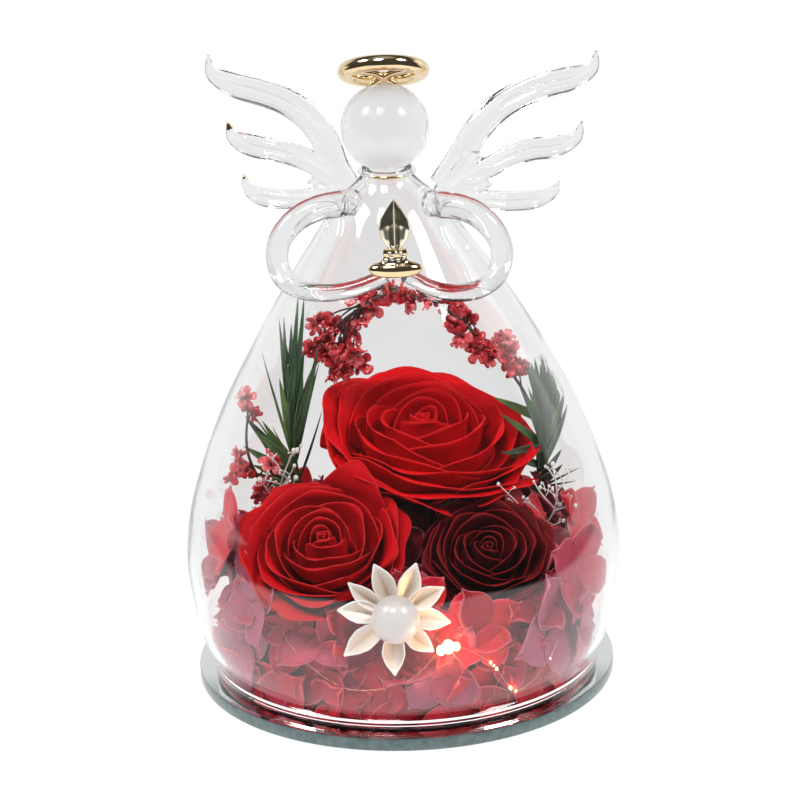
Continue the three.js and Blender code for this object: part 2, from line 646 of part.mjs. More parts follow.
// Light wire with small lamps, laid round the flowers just inside the glass
const LIGHTS = {
  wire: 0.35, lamp: 1.2,
  route: [[-30, -12, 30.2], [-37, -35, 34], [-33, -46.5, 27], [-18, -54, 17], [0, -57, 20], [12, -57, 30.5],
    [24, -53.5, 24], [32, -47.5, 12], [43, -40, 21], [47, -20, 34], [29, -8, 44], [22, 2, 30.2]],
  steps: 26, lamps: [12, 15, 17, 19],          // a lamp sits at each of these steps along the wire
};

function lightWire() {
  const route = vectors(LIGHTS.route);
  const curve = new THREE.CatmullRomCurve3(route);
  const beads = LIGHTS.lamps.map((step) => {
    const { x, y, z } = curve.getPointAt(step / LIGHTS.steps);
    return closed(new THREE.OctahedronGeometry(LIGHTS.lamp, 0).translate(x, y, z));
  });
  return fuse([rod(route, () => LIGHTS.wire, 3, LIGHTS.steps), ...beads]);
}

function lightKeepOut() {
  return toSolid(rod(vectors(LIGHTS.route), () => LIGHTS.lamp + 2 * GAP, 4, 16));
}

// Assembly

const object = new THREE.Group();

function piece(name, shape, material, parent = object) {
  const geometry = shape instanceof THREE.BufferGeometry ? shape : toGeometry(shape);
  const mesh = new THREE.Mesh(geometry, MATERIAL[material]);
  mesh.name = name;
  parent.add(mesh);
  return mesh;
}

const plateEdge = PLATE.edge;
piece('mirror_plate', turned([
  [0, 0], [PLATE.radius - plateEdge, 0], [PLATE.radius, plateEdge], [PLATE.radius, PLATE.thickness - plateEdge],
  [PLATE.radius - plateEdge, PLATE.thickness], [0, PLATE.thickness],
], 40), 'mirror');
piece('glass_dome', glassDome(), 'clearGlass');
piece('neck_collar', neckCollar(), 'gold');
piece('glass_head', headBall(), 'clearGlass').position.set(LEAN.shift, 0, HEAD.height);

const halo = new THREE.Group();
halo.position.set(LEAN.shift, HALO.back, HALO.height);
halo.rotation.set(rad(-HALO.tilt), 0, 0);
object.add(halo);
piece('halo_ring', haloRing(), 'gold', halo);

piece('wing_left', wing('left'), 'clearGlass');
piece('wing_right', wing('right'), 'clearGlass');
piece('arm_left', arm('left'), 'clearGlass');
piece('arm_right', arm('right'), 'clearGlass');
piece('gilt_cuff', giltCuff(), 'gold');
piece('praying_hands', prayingHands(), 'gold');
piece('foam_block', turned([
  [0, FOAM.bottom], [FOAM.radius, FOAM.bottom], [FOAM.radius, FOAM.top - 2], [FOAM.radius - 2, FOAM.top],
  [0, FOAM.top],
], 20), 'foam');

const roseKeepOuts = ROSES.map(roseKeepOut);
const broochKeepOut = (() => {
  const group = broochGroup();
  group.updateMatrixWorld(true);
  const room = new THREE.CylinderGeometry(BROOCH.room, BROOCH.room, 12, 14).rotateX(Math.PI / 2);
  return toSolid(closed(room.translate(0, 0, 4.6).applyMatrix4(group.matrixWorld)));
})();

for (const rose of ROSES) {
  const group = roseGroup(rose);
  object.add(group);
  piece(`${rose.name}_heart`, roseHeart(rose.size), rose.petal, group);
  piece(`${rose.name}_stem`, roseStem(rose.size, rose.stem), 'stem', group);
  for (const [whorl, count, from] of rose.whorls) {
    for (let k = 0; k < count; k += 1) {
      const petal = rosePetal(rose, WHORL[whorl], from + (360 * k) / count, 216 / count);
      piece(`${rose.name}_${whorl}_petal_${k + 1}`, petal, rose.petal, group);
    }
  }
}

const stemKeepOuts = [...LEAF_SPRAYS, ...BLOSSOM_BRANCHES, ...WHITE_TWIGS]
  .map(({ stem }) => toSolid(rod(vectors(stem), () => 3.2, 4, 6)));
HYDRANGEA.names.forEach((name, k) => {
  const room = [...roseKeepOuts, broochKeepOut, lightKeepOut(), ...stemKeepOuts];
  piece(`hydrangea_${name}`, carve(hydrangeaSector(k), room), 'hydrangea');
});
const neighbours = [...roseKeepOuts];
for (const [plants, grow, material] of [
  [BLOSSOM_BRANCHES, blossomBranch, 'blossom'],
  [LEAF_SPRAYS, leafSpray, 'leaf'],
  [WHITE_TWIGS, whiteTwig, 'twig'],
]) {
  for (const plant of plants) {
    const grown = grow(plant, neighbours);
    piece(plant.name, grown, material);
    neighbours.push(grown);
  }
}

const brooch = broochGroup();
object.add(brooch);
piece('brooch_flower', broochFlower(), 'enamel', brooch);
piece('brooch_pearl', pearl(), 'pearl', brooch).position.set(0, 0, PEARL_LIFT);
piece('light_wire', lightWire(), 'copper');

export default object;
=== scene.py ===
import math
import random

import bpy
import numpy as np
from mathutils import Matrix, Vector


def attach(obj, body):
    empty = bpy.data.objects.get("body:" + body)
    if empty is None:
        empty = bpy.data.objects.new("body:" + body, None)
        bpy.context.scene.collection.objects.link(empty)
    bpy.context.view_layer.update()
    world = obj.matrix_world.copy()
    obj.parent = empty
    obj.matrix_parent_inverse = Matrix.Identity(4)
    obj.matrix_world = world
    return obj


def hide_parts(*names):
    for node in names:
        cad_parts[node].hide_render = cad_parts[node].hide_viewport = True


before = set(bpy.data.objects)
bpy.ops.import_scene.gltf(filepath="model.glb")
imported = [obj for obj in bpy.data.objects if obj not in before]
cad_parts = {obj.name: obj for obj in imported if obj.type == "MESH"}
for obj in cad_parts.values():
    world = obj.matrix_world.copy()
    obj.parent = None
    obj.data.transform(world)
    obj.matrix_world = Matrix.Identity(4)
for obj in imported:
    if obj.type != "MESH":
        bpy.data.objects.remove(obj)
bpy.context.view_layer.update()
mm = 0.001
print("frame loaded")


# Small helpers; sizes are in mm until a point is placed in a mesh

def deselectAll():
    if bpy.context.object and bpy.context.object.mode != "OBJECT":
        bpy.ops.object.mode_set(mode="OBJECT")
    bpy.ops.object.select_all(action="DESELECT")


def makeActive(piece):
    deselectAll()
    piece.select_set(True)
    bpy.context.view_layer.objects.active = piece


def pointsOf(piece):
    flat = np.zeros(len(piece.data.vertices) * 3)
    piece.data.vertices.foreach_get("co", flat)
    return flat.reshape(-1, 3)


def movePoints(piece, points):
    piece.data.vertices.foreach_set("co", np.asarray(points, float).ravel())
    piece.data.update()


def applyModifiers(piece):
    makeActive(piece)
    for modifier in list(piece.modifiers):
        bpy.ops.object.modifier_apply(modifier=modifier.name)


def thicken(piece, thickness, offset=0.0):
    wall = piece.modifiers.new("wall", "SOLIDIFY")
    wall.thickness = thickness * mm
    wall.offset = offset
    applyModifiers(piece)


def subdivide(piece, levels):
    smoother = piece.modifiers.new("smoother", "SUBSURF")
    smoother.levels = smoother.render_levels = levels
    applyModifiers(piece)


def closeSeams(piece, gap=0.004, capEnds=False):
    makeActive(piece)
    bpy.ops.object.mode_set(mode="EDIT")
    bpy.ops.mesh.select_all(action="SELECT")
    bpy.ops.mesh.remove_doubles(threshold=gap * mm)
    if capEnds:
        bpy.ops.mesh.select_all(action="DESELECT")
        bpy.ops.mesh.select_non_manifold()
        bpy.ops.mesh.fill_holes(sides=0)
        bpy.ops.mesh.select_all(action="SELECT")
    bpy.ops.mesh.normals_make_consistent(inside=False)
    bpy.ops.object.mode_set(mode="OBJECT")


def joinPieces(name, pieces):
    deselectAll()
    for piece in pieces:
        piece.select_set(True)
    bpy.context.view_layer.objects.active = pieces[0]
    if len(pieces) > 1:
        bpy.ops.object.join()
    pieces[0].name = name
    return pieces[0]


def smoothShade(piece, angle=None):
    makeActive(piece)
    if angle is None:
        bpy.ops.object.shade_smooth()
    else:
        bpy.ops.object.shade_smooth_by_angle(angle=math.radians(angle))


def setTone(piece, value):
    tone = piece.data.attributes.new("tone", "FLOAT", "POINT")
    tone.data.foreach_set("value", [value] * len(piece.data.vertices))


def finishPiece(piece, name, material, nodes=()):
    piece.name = piece.data.name = name
    piece.data.materials.clear()
    for one in material if isinstance(material, (list, tuple)) else [material]:
        piece.data.materials.append(one)
    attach(piece, "root")
    if nodes:
        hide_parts(*nodes)
    print("made", name, len(piece.data.polygons))


def mix(a, b, t):
    return a + (b - a) * t


def ramp(x, low, high):
    t = np.clip((x - low) / (high - low), 0, 1)
    return t * t * (3 - 2 * t)


def pathThrough(points, count):
    # places, evenly spread, on a smooth curve through the points
    points = np.asarray(points, float)
    ends = np.vstack([2 * points[0] - points[1], points, 2 * points[-1] - points[-2]])
    fine = []
    for k in range(len(points) - 1):
        a, b, c, d = ends[k:k + 4]
        t = np.linspace(0, 1, 24, endpoint=k == len(points) - 2)[:, None]
        fine.append(0.5 * (2 * b + (c - a) * t + (2 * a - 5 * b + 4 * c - d) * t ** 2
                           + (3 * b - a - 3 * c + d) * t ** 3))
    fine = np.vstack(fine)
    length = np.concatenate([[0], np.cumsum(np.linalg.norm(np.diff(fine, axis=0), axis=1))])
    wanted = np.linspace(0, length[-1], count)
    return np.column_stack([np.interp(wanted, length, fine[:, k]) for k in range(3)])


def unit(v):
    return v / np.maximum(np.linalg.norm(v, axis=-1, keepdims=True), 1e-9)


def framesAlong(path, facing=None):
    # two directions square to the path at each of its places
    tangent = unit(np.gradient(path, axis=0))
    across = np.zeros_like(path)
    guide = np.array(facing if facing is not None else (0.31, -0.9, 0.3), float)
    for k, t in enumerate(tangent):
        side = np.cross(t, guide)
        across[k] = side / max(np.linalg.norm(side), 1e-9)
        if facing is None:
            guide = np.cross(across[k], t)
    return across, np.cross(across, tangent)


def gridPiece(columns, rows, place):
    # a grid primitive whose points go where place(u, v) says, u and v from 0 to 1
    deselectAll()
    bpy.ops.mesh.primitive_grid_add(x_subdivisions=columns, y_subdivisions=rows, size=1)
    piece = bpy.context.object
    flat = pointsOf(piece)
    movePoints(piece, place(flat[:, 0] + 0.5, flat[:, 1] + 0.5) * mm)
    return piece


def sweptPiece(path, sides, section, facing=None):
    # section(turn, t) gives how far a point lies across and in front of the path
    across, front = framesAlong(path, facing)

    def place(u, v):
        at = np.rint(v * (len(path) - 1)).astype(int)
        w, d = section(2 * np.pi * u, v)
        return path[at] + across[at] * w[:, None] + front[at] * d[:, None]

    piece = gridPiece(sides, len(path) - 1, place)
    closeSeams(piece, 0.0005, capEnds=True)
    return piece


def roundRod(points, count, sides, radiusAt):
    path = pathThrough(points, count)
    return sweptPiece(path, sides, lambda turn, t: (radiusAt(t) * np.cos(turn), radiusAt(t) * np.sin(turn)))


def turnedPiece(outline, steps):
    # a closed outline of (radius, height) turned round the upright axis
    deselectAll()
    bpy.ops.mesh.primitive_circle_add(vertices=len(outline), radius=1, fill_type="NOTHING")
    piece = bpy.context.object
    movePoints(piece, [(r * mm, 0, z * mm) for r, z in outline])
    bpy.ops.object.mode_set(mode="EDIT")
    bpy.ops.mesh.select_all(action="SELECT")
    bpy.ops.mesh.spin(steps=steps, angle=2 * math.pi, center=(0, 0, 0), axis=(0, 0, 1))
    bpy.ops.object.mode_set(mode="OBJECT")
    closeSeams(piece)
    return piece


# Shared looks: node groups with named inputs, and short ways to build materials

class Nodes:
    def __init__(self, tree):
        self.tree = tree

    def add(self, kind, **values):
        node = self.tree.nodes.new(kind)
        for name, value in values.items():
            setattr(node, name, value)
        return node

    def link(self, a, b):
        self.tree.links.new(a, b)

    def math(self, operation, a, b=0.5, clamp=False):
        node = self.add("ShaderNodeMath", operation=operation, use_clamp=clamp)
        for socket, value in zip(node.inputs, (a, b)):
            if isinstance(value, (int, float)):
                socket.default_value = value
            else:
                self.link(value, socket)
        return node.outputs[0]

    def blend(self, factor, a, b):
        node = self.add("ShaderNodeMix", data_type="RGBA")
        for socket, value in ((node.inputs[0], factor), (node.inputs[6], a), (node.inputs[7], b)):
            if isinstance(value, (int, float)):
                socket.default_value = value
            elif isinstance(value, tuple):
                socket.default_value = (*value, 1)
            else:
                self.link(value, socket)
        return node.outputs[2]

    def noise(self, vector, scale, detail):
        node = self.add("ShaderNodeTexNoise")
        node.inputs["Scale"].default_value = scale
        node.inputs["Detail"].default_value = detail
        self.link(vector, node.inputs["Vector"])
        return node.outputs[0]

    def steps(self, value, stops):
        node = self.add("ShaderNodeValToRGB")
        band = node.color_ramp
        while len(band.elements) < len(stops):
            band.elements.new(0.5)
        for element, (place, colour) in zip(band.elements, stops):
            element.position = place
            element.color = (*colour, 1) if isinstance(colour, tuple) else (colour, colour, colour, 1)
        self.link(value, node.inputs[0])
        return node.outputs[0]

    def group(self, group, **inputs):
        node = self.add("ShaderNodeGroup")
        node.node_tree = group
        for name, value in inputs.items():
            socket = node.inputs[name]
            if isinstance(value, (int, float)):
                socket.default_value = value
            elif isinstance(value, tuple):
                socket.default_value = (*value, 1)
            else:
                self.link(value, socket)
        return node


def newMaterial(name, **values):
    material = bpy.data.materials.new(name)
    material.use_nodes = True
    nodes = Nodes(material.node_tree)
    shader = material.node_tree.nodes["Principled BSDF"]
    for key, value in values.items():
        socket = shader.inputs[key.replace("_", " ")]
        opaque = isinstance(value, tuple) and len(socket.default_value) == 4
        socket.default_value = (*value, 1) if opaque else value
    return material, nodes, shader


def newGroup(name, inputs, outputs):
    group = bpy.data.node_groups.new(name, "ShaderNodeTree")
    for label, kind, value in inputs:
        socket = group.interface.new_socket(label, in_out="INPUT", socket_type=kind)
        if value is not None:
            socket.default_value = (*value, 1) if isinstance(value, tuple) else value
    for label, kind in outputs:
        group.interface.new_socket(label, in_out="OUTPUT", socket_type=kind)
    nodes = Nodes(group)
    return group, nodes, nodes.add("NodeGroupInput"), nodes.add("NodeGroupOutput")


def makeMottle():
    # soft uneven tone and a fine bump, by place
    group, nodes, into, out = newGroup(
        "mottle",
        [("Colour", "NodeSocketColor", (0.5, 0.5, 0.5)), ("Dark", "NodeSocketColor", (0.2, 0.2, 0.2)),
         ("Scale", "NodeSocketFloat", 90.0), ("Amount", "NodeSocketFloat", 0.5),
         ("Grain", "NodeSocketFloat", 0.1)],
        [("Colour", "NodeSocketColor"), ("Normal", "NodeSocketVector"), ("Mask", "NodeSocketFloat")])
    place = nodes.add("ShaderNodeTexCoord").outputs["Object"]
    broad = nodes.add("ShaderNodeTexNoise")
    nodes.link(place, broad.inputs["Vector"])
    nodes.link(into.outputs["Scale"], broad.inputs["Scale"])
    broad.inputs["Detail"].default_value = 4
    spots = nodes.steps(broad.outputs[0], [(0.35, 1.0), (0.65, 0.0)])
    mask = nodes.math("MULTIPLY", spots, into.outputs["Amount"])
    nodes.link(nodes.blend(mask, into.outputs["Colour"], into.outputs["Dark"]), out.inputs["Colour"])
    fine = nodes.noise(place, 2600, 2)
    bump = nodes.add("ShaderNodeBump")
    bump.inputs["Distance"].default_value = 0.0002
    nodes.link(into.outputs["Grain"], bump.inputs["Strength"])
    nodes.link(fine, bump.inputs["Height"])
    nodes.link(bump.outputs[0], out.inputs["Normal"])
    nodes.link(mask, out.inputs["Mask"])
    return group


def makeVeins():
    # fine veins that fan out from a petal's foot, read from its own UV map
    group, nodes, into, out = newGroup(
        "petal veins",
        [("Count", "NodeSocketFloat", 18.0), ("Waver", "NodeSocketFloat", 0.3),
         ("Breadth", "NodeSocketFloat", 0.35)],
        [("Veins", "NodeSocketFloat"), ("Height", "NodeSocketFloat"), ("Rim", "NodeSocketFloat")])
    uv = nodes.add("ShaderNodeUVMap").outputs[0]
    parts = nodes.add("ShaderNodeSeparateXYZ")
    nodes.link(uv, parts.inputs[0])
    u, v = parts.outputs[0], parts.outputs[1]
    wobble = nodes.math("MULTIPLY", nodes.math("SUBTRACT", nodes.noise(uv, 7, 3), 0.5), into.outputs["Waver"])
    across = nodes.math("ADD", nodes.math("SUBTRACT", u, 0.5), wobble)
    pace = nodes.math("MULTIPLY", into.outputs["Count"], 6.283)
    wave = nodes.math("ABSOLUTE", nodes.math("SINE", nodes.math("MULTIPLY", across, pace)))
    nodes.link(nodes.math("POWER", wave, into.outputs["Breadth"], True), out.inputs["Veins"])
    nodes.link(v, out.inputs["Height"])
    side = nodes.math("MULTIPLY", nodes.math("ABSOLUTE", nodes.math("SUBTRACT", u, 0.5)), 2.0)
    nodes.link(nodes.math("MAXIMUM", v, side), out.inputs["Rim"])
    return group


mottle = makeMottle()
veins = makeVeins()


def objectPlace(nodes):
    return nodes.add("ShaderNodeTexCoord").outputs["Object"]


def toneOf(nodes):
    return nodes.add("ShaderNodeAttribute", attribute_name="tone").outputs["Fac"]


def applyLook(nodes, look, shader, rough=None, gain=0.2, colour=None):
    # a mottled look's colour and bump, and its roughness where a lowest one is given
    nodes.link(look.outputs["Colour"] if colour is None else colour, shader.inputs["Base Color"])
    nodes.link(look.outputs["Normal"], shader.inputs["Normal"])
    if rough is not None:
        uneven = nodes.math("MULTIPLY", look.outputs["Mask"], gain)
        nodes.link(nodes.math("ADD", uneven, rough), shader.inputs["Roughness"])


def lampClear(material, nodes, shader):
    # clear glass that lets the lamps and soft light through to what stands behind it
    path = nodes.add("ShaderNodeLightPath")
    clear = nodes.add("ShaderNodeBsdfTransparent")
    mixer = nodes.add("ShaderNodeMixShader")
    out = material.node_tree.nodes["Material Output"]
    soft = nodes.math("MAXIMUM", path.outputs["Is Shadow Ray"], path.outputs["Is Diffuse Ray"])
    nodes.link(soft, mixer.inputs[0])
    nodes.link(shader.outputs[0], mixer.inputs[1])
    nodes.link(clear.outputs[0], mixer.inputs[2])
    nodes.link(mixer.outputs[0], out.inputs["Surface"])


def makeGlass(name, rippleHeight=0.0, rippleScale=60.0, tint=(1.0, 1.0, 1.0), **values):
    values = {"Roughness": 0.0, "IOR": 1.47, "Transmission_Weight": 1.0, **values}
    material, nodes, shader = newMaterial(name, Base_Color=tint, **values)
    if rippleHeight:
        bump = nodes.add("ShaderNodeBump")
        bump.inputs["Strength"].default_value = 1.0
        bump.inputs["Distance"].default_value = rippleHeight * mm
        nodes.link(nodes.noise(objectPlace(nodes), rippleScale, 1), bump.inputs["Height"])
        nodes.link(bump.outputs[0], shader.inputs["Normal"])
    lampClear(material, nodes, shader)
    return material


glassLook = {
    "dome": makeGlass("blown glass", 0.10, 34.0, (0.985, 0.99, 0.99)),
    "rod": makeGlass("worked glass", 0.06, 120.0, (0.97, 0.975, 0.975)),
    "head": makeGlass("milky glass bubble", tint=(0.89, 0.895, 0.90), Roughness=0.6, IOR=1.12,
                      Specular_IOR_Level=0.0, Coat_Weight=1.0, Coat_Roughness=0.0, Coat_IOR=1.22),
    # white mirror metal for bands on the dome's lip: a painted glint line, not glass
    "foot": makeGlass("painted foot glint", tint=(0.97, 0.97, 0.96), Roughness=0.12, Metallic=1.0,
                      Transmission_Weight=0.0),
}


def makeGold(name, colour, dark, rough):
    material, nodes, shader = newMaterial(name, Metallic=1.0)
    look = nodes.group(mottle, Colour=colour, Dark=dark, Scale=160.0, Amount=0.6, Grain=0.02)
    applyLook(nodes, look, shader, rough, 0.12)
    return material


gold = makeGold("gold lustre", (0.93, 0.74, 0.46), (0.80, 0.58, 0.32), 0.05)
silver = makeGold("silver lustre", (0.92, 0.90, 0.86), (0.60, 0.50, 0.40), 0.04)
softGold = makeGold("worn gold lustre", (0.93, 0.87, 0.68), (0.62, 0.56, 0.40), 0.12)


def makePetal(name, foot, body, rim, sheen, veinCount=14.0, rimHighlightWidth=0.014, rimHighlightShare=0.45, roughness=0.55):
    material, nodes, shader = newMaterial(
        name, Sheen_Weight=0.015, Sheen_Roughness=0.4, Sheen_Tint=sheen, Specular_IOR_Level=0.08)
    lines = nodes.group(veins, Count=veinCount, Waver=0.25)
    # darker toward the petal's foot: painted shade deep down in the rose's cup
    base = nodes.steps(lines.outputs["Height"], [(0.0, foot), (0.55, body), (1.0, body)])
    look = nodes.group(mottle, Colour=base, Scale=70.0, Amount=0.45, Grain=0.25)
    nodes.link(nodes.blend(0.62, base, foot), look.inputs["Dark"])
    veined = nodes.blend(nodes.math("MULTIPLY", nodes.math("SUBTRACT", 1.0, lines.outputs["Veins"]), 0.35),
                         look.outputs["Colour"], foot)
    # the lighter rim colour along the petal's edges is a painted highlight, standing for light caught by the
    # thin edge
    edge = nodes.steps(lines.outputs["Rim"], [(1 - rimHighlightWidth, 0.0), (1 - rimHighlightWidth * 0.2, 1.0)])
    applyLook(nodes, look, shader, roughness,
              colour=nodes.blend(nodes.math("MULTIPLY", edge, rimHighlightShare), veined, rim))
    return material


# colours: foot, body, rim, sheen tint; the dark foot is painted shade deep in the cup, the light rim a painted
# highlight on the edge
petalLook = {
    "red": makePetal("crimson petal", (0.26, 0.0, 0.003), (0.74, 0.0015, 0.006), (0.82, 0.03, 0.032),
                     (1.0, 0.3, 0.3)),
    "bright": makePetal("scarlet petal", (0.22, 0.0, 0.003), (0.57, 0.002, 0.006), (0.74, 0.05, 0.05),
                        (1.0, 0.35, 0.35)),
    "dark": makePetal("burgundy petal", (0.010, 0.0, 0.001), (0.10, 0.0008, 0.003), (0.34, 0.010, 0.014),
                      (0.8, 0.2, 0.25), rimHighlightWidth=0.035, rimHighlightShare=0.6),
}


# Camera and studio

camera = {"elevation": 19.984, "distance": 1.2, "aim": (0.000234, 0.0, 0.08664), "roll": -1.633,
          "lens": 179.43, "sensor": 36.0}


def makeCamera():
    angle = math.radians(camera["elevation"])
    aim = Vector(camera["aim"])
    place = aim + camera["distance"] * Vector((0, -math.cos(angle), math.sin(angle)))
    turn = Matrix.Rotation(math.pi / 2 - angle, 3, "X") @ Matrix.Rotation(math.radians(camera["roll"]), 3, "Z")
    bpy.ops.object.camera_add(location=place, rotation=turn.to_euler())
    eye = bpy.context.object
    eye.name = "photo_camera"
    eye.data.lens = camera["lens"]
    eye.data.sensor_width = camera["sensor"]
    eye.data.clip_start, eye.data.clip_end = 0.01, 20
    bpy.context.scene.camera = eye


studio = {
    "white": 1.0,
    # light table: tone in front and behind, how much more of it reaches matt things, its tone past its ends
    "frontFloor": 1.15, "backFloor": 0.895, "floorLift": 1.45, "floorDark": 0.05,
    # where it ends in front and at the sides, and where its tone changes on the way back, in m
    "frontEnd": (0.40, 0.46), "sideEnd": (0.30, 0.36), "toneFade": (-0.02, 0.12), "rearFade": (0.05, 0.2),
    "floorRadius": 5,
    # sky behind: tones by height; everything beside and in front of it: one tone
    "skyLow": 0.80, "skyMid": 0.05, "skyTop": 0.4, "skySide": 0.06,
    "skySteps": (0.42, 0.62, 0.86, 0.97), "behindFrom": (0.25, 0.55),
    "lamps": {  # direction, size in m, power in W
        "lamp_left": ((-0.65, -0.135, 0.741), 0.30, 5.4),
        "lamp_front": ((-0.167, -0.457, 0.88), 0.30, 5.4),
        "lamp_right": ((0.626, -0.278, 0.729), 0.30, 5.4),
    },
    "lampDistance": 1.1,
    "flankLamp": ((0.95, 0.35, 0.30), 0.50, 0.6),
}


def fadeBetween(nodes, value, start, end, low, high):
    node = nodes.add("ShaderNodeMapRange")
    nodes.link(value, node.inputs[0])
    for socket, number in zip(node.inputs[1:5], (start, end, low, high)):
        socket.default_value = number
    return node.outputs[0]


def seenThrough(nodes):
    # 1 for what is seen through both walls of a hollow glass
    return nodes.math("GREATER_THAN", nodes.add("ShaderNodeLightPath").outputs["Transmission Depth"], 3.5)


def makeStudio():
    world = bpy.data.worlds.new("studio")
    bpy.context.scene.world = world
    world.use_nodes = True
    nodes = Nodes(world.node_tree)
    seen = world.node_tree.nodes["Background"]
    seen.inputs[0].default_value = (1, 1, 1, 1)
    seen.inputs[1].default_value = studio["white"]
    parts = nodes.add("ShaderNodeSeparateXYZ")
    nodes.link(nodes.add("ShaderNodeTexCoord").outputs["Generated"], parts.inputs[0])
    low, dim, high, top = studio["skySteps"]
    tone = nodes.steps(parts.outputs[2], [(0.0, studio["skyLow"]), (low, studio["skyLow"]),
                                          (dim, studio["skyMid"]), (high, studio["skyMid"]),
                                          (top, studio["skyTop"])])
    behind = nodes.math("MAXIMUM", fadeBetween(nodes, parts.outputs[1], *studio["behindFrom"], 0, 1),
                        fadeBetween(nodes, parts.outputs[2], high, top, 0, 1))
    behind = nodes.math("MAXIMUM", behind, seenThrough(nodes))
    lit = nodes.add("ShaderNodeBackground")
    nodes.link(nodes.blend(behind, (studio["skySide"],) * 3, tone), lit.inputs[0])
    mixer = nodes.add("ShaderNodeMixShader")
    nodes.link(nodes.add("ShaderNodeLightPath").outputs["Is Camera Ray"], mixer.inputs[0])
    nodes.link(lit.outputs[0], mixer.inputs[1])
    nodes.link(seen.outputs[0], mixer.inputs[2])
    nodes.link(mixer.outputs[0], world.node_tree.nodes["World Output"].inputs[0])

    deselectAll()
    bpy.ops.mesh.primitive_circle_add(vertices=96, radius=studio["floorRadius"], fill_type="NGON",
                                      location=(0, 0, -0.0002))
    floor = bpy.context.object
    floor.name = "floor"
    material = bpy.data.materials.new("white table")
    material.use_nodes = True
    tree = material.node_tree
    tree.nodes.remove(tree.nodes["Principled BSDF"])
    nodes = Nodes(tree)
    parts = nodes.add("ShaderNodeSeparateXYZ")
    nodes.link(objectPlace(nodes), parts.inputs[0])
    x, y = parts.outputs[0], parts.outputs[1]
    tone = fadeBetween(nodes, y, *studio["toneFade"], studio["frontFloor"], studio["backFloor"])
    wide = fadeBetween(nodes, nodes.math("ABSOLUTE", x), *studio["sideEnd"], 1, 0)
    wide = nodes.math("MAXIMUM", wide, fadeBetween(nodes, y, *studio["rearFade"], 0, 1))
    deep = fadeBetween(nodes, nodes.math("MULTIPLY", y, -1.0), *studio["frontEnd"], 1, 0)
    inside = nodes.math("MAXIMUM", nodes.math("MULTIPLY", wide, deep), seenThrough(nodes))
    table = nodes.math("MULTIPLY", tone, inside)
    glow = nodes.add("ShaderNodeEmission")
    path = nodes.add("ShaderNodeLightPath")
    lift = nodes.math("MULTIPLY", path.outputs["Is Diffuse Ray"], studio["floorLift"] - 1)
    shine = nodes.math("MAXIMUM", table, studio["floorDark"])
    nodes.link(nodes.math("MULTIPLY", shine, nodes.math("ADD", lift, 1.0)), glow.inputs[1])
    plain = nodes.add("ShaderNodeEmission")
    plain.inputs[1].default_value = studio["white"]
    mixer = nodes.add("ShaderNodeMixShader")
    nodes.link(path.outputs["Is Camera Ray"], mixer.inputs[0])
    nodes.link(glow.outputs[0], mixer.inputs[1])
    nodes.link(plain.outputs[0], mixer.inputs[2])
    nodes.link(mixer.outputs[0], tree.nodes["Material Output"].inputs[0])
    floor.data.materials.append(material)

    lamps = dict(studio["lamps"], lamp_flank=studio["flankLamp"])
    for name, (direction, size, power) in lamps.items():
        away = Vector(direction).normalized()
        bpy.ops.object.light_add(type="AREA", location=away * studio["lampDistance"] + Vector((0, 0, 0.09)),
                                 rotation=away.to_track_quat("Z", "Y").to_euler())
        lamp = bpy.context.object
        lamp.name = name
        lamp.data.shape = "SQUARE"
        lamp.data.size = size
        lamp.data.energy = power
        lamp.visible_camera = False
    scene = bpy.context.scene
    scene.view_settings.view_transform = "Standard"
    scene.cycles.max_bounces = 24
    scene.cycles.transmission_bounces = 24
    scene.cycles.transparent_max_bounces = 40
    scene.cycles.glossy_bounces = 8
    scene.cycles.caustics_reflective = False


makeCamera()
makeStudio()
print("camera and studio made")


# Glass: the dome, its collar, the head, wings and arms

dome = {
    "wall": 2.0, "steps": 128, "lean": (100, 172, -1.9), "widest": 65.9, "lipTop": 8.3,
    "outline": [(59.33, 6.9), (60.4, 10), (63.2, 19), (65.9, 38), (64.3, 53), (60, 68), (53, 86), (43.6, 104.5),
                (33.5, 122), (24.4, 136), (15.6, 149), (10, 154.8), (7.5, 157.8), (7.3, 159.8)],
    "lip": [
        (56.85, 4.35), (56.95, 4.06), (58.9, 4.06), (59.0, 4.3), (59.18, 5.85), (59.22, 5.95),
        (59.20, 6.25), (59.36, 6.95), (59.42, 7.05), (59.40, 7.85)],
    # flat white mirror-metal bands on the lip, from and to a height, outside this radius, that catch the light
    # of the table: a painted glint line
    "glintBands": [(5.95, 6.25), (7.05, 7.85)], "glintBandsFrom": 58,
}


def lean(z):
    low, high, shift = dome["lean"]
    return shift * ramp(z, low, high)


def domeOutline(inset=0.0, count=90):
    outline = pathThrough([(r, 0, z) for r, z in dome["outline"]], count)[:, [0, 2]]
    along = unit(np.gradient(outline, axis=0))
    outline[:, 0] = np.minimum(outline[:, 0], dome["widest"])
    return outline + inset * np.column_stack([-along[:, 1], along[:, 0]])


domeInside = domeOutline(dome["wall"])


def glassRadius(z):
    # radius of the dome's inner face at a height
    return np.interp(z, domeInside[:, 1], domeInside[:, 0])


def insideGlass(points, gap=0.8):
    # points in mm, drawn in where they would pass the dome's inner face
    centre = lean(points[:, 2])
    x, y = points[:, 0] - centre, points[:, 1]
    r = np.hypot(x, y)
    most = glassRadius(points[:, 2]) - gap
    share = np.where(r > most, most / np.maximum(r, 1e-6), 1)
    return np.column_stack([centre + x * share, y * share, points[:, 2]])


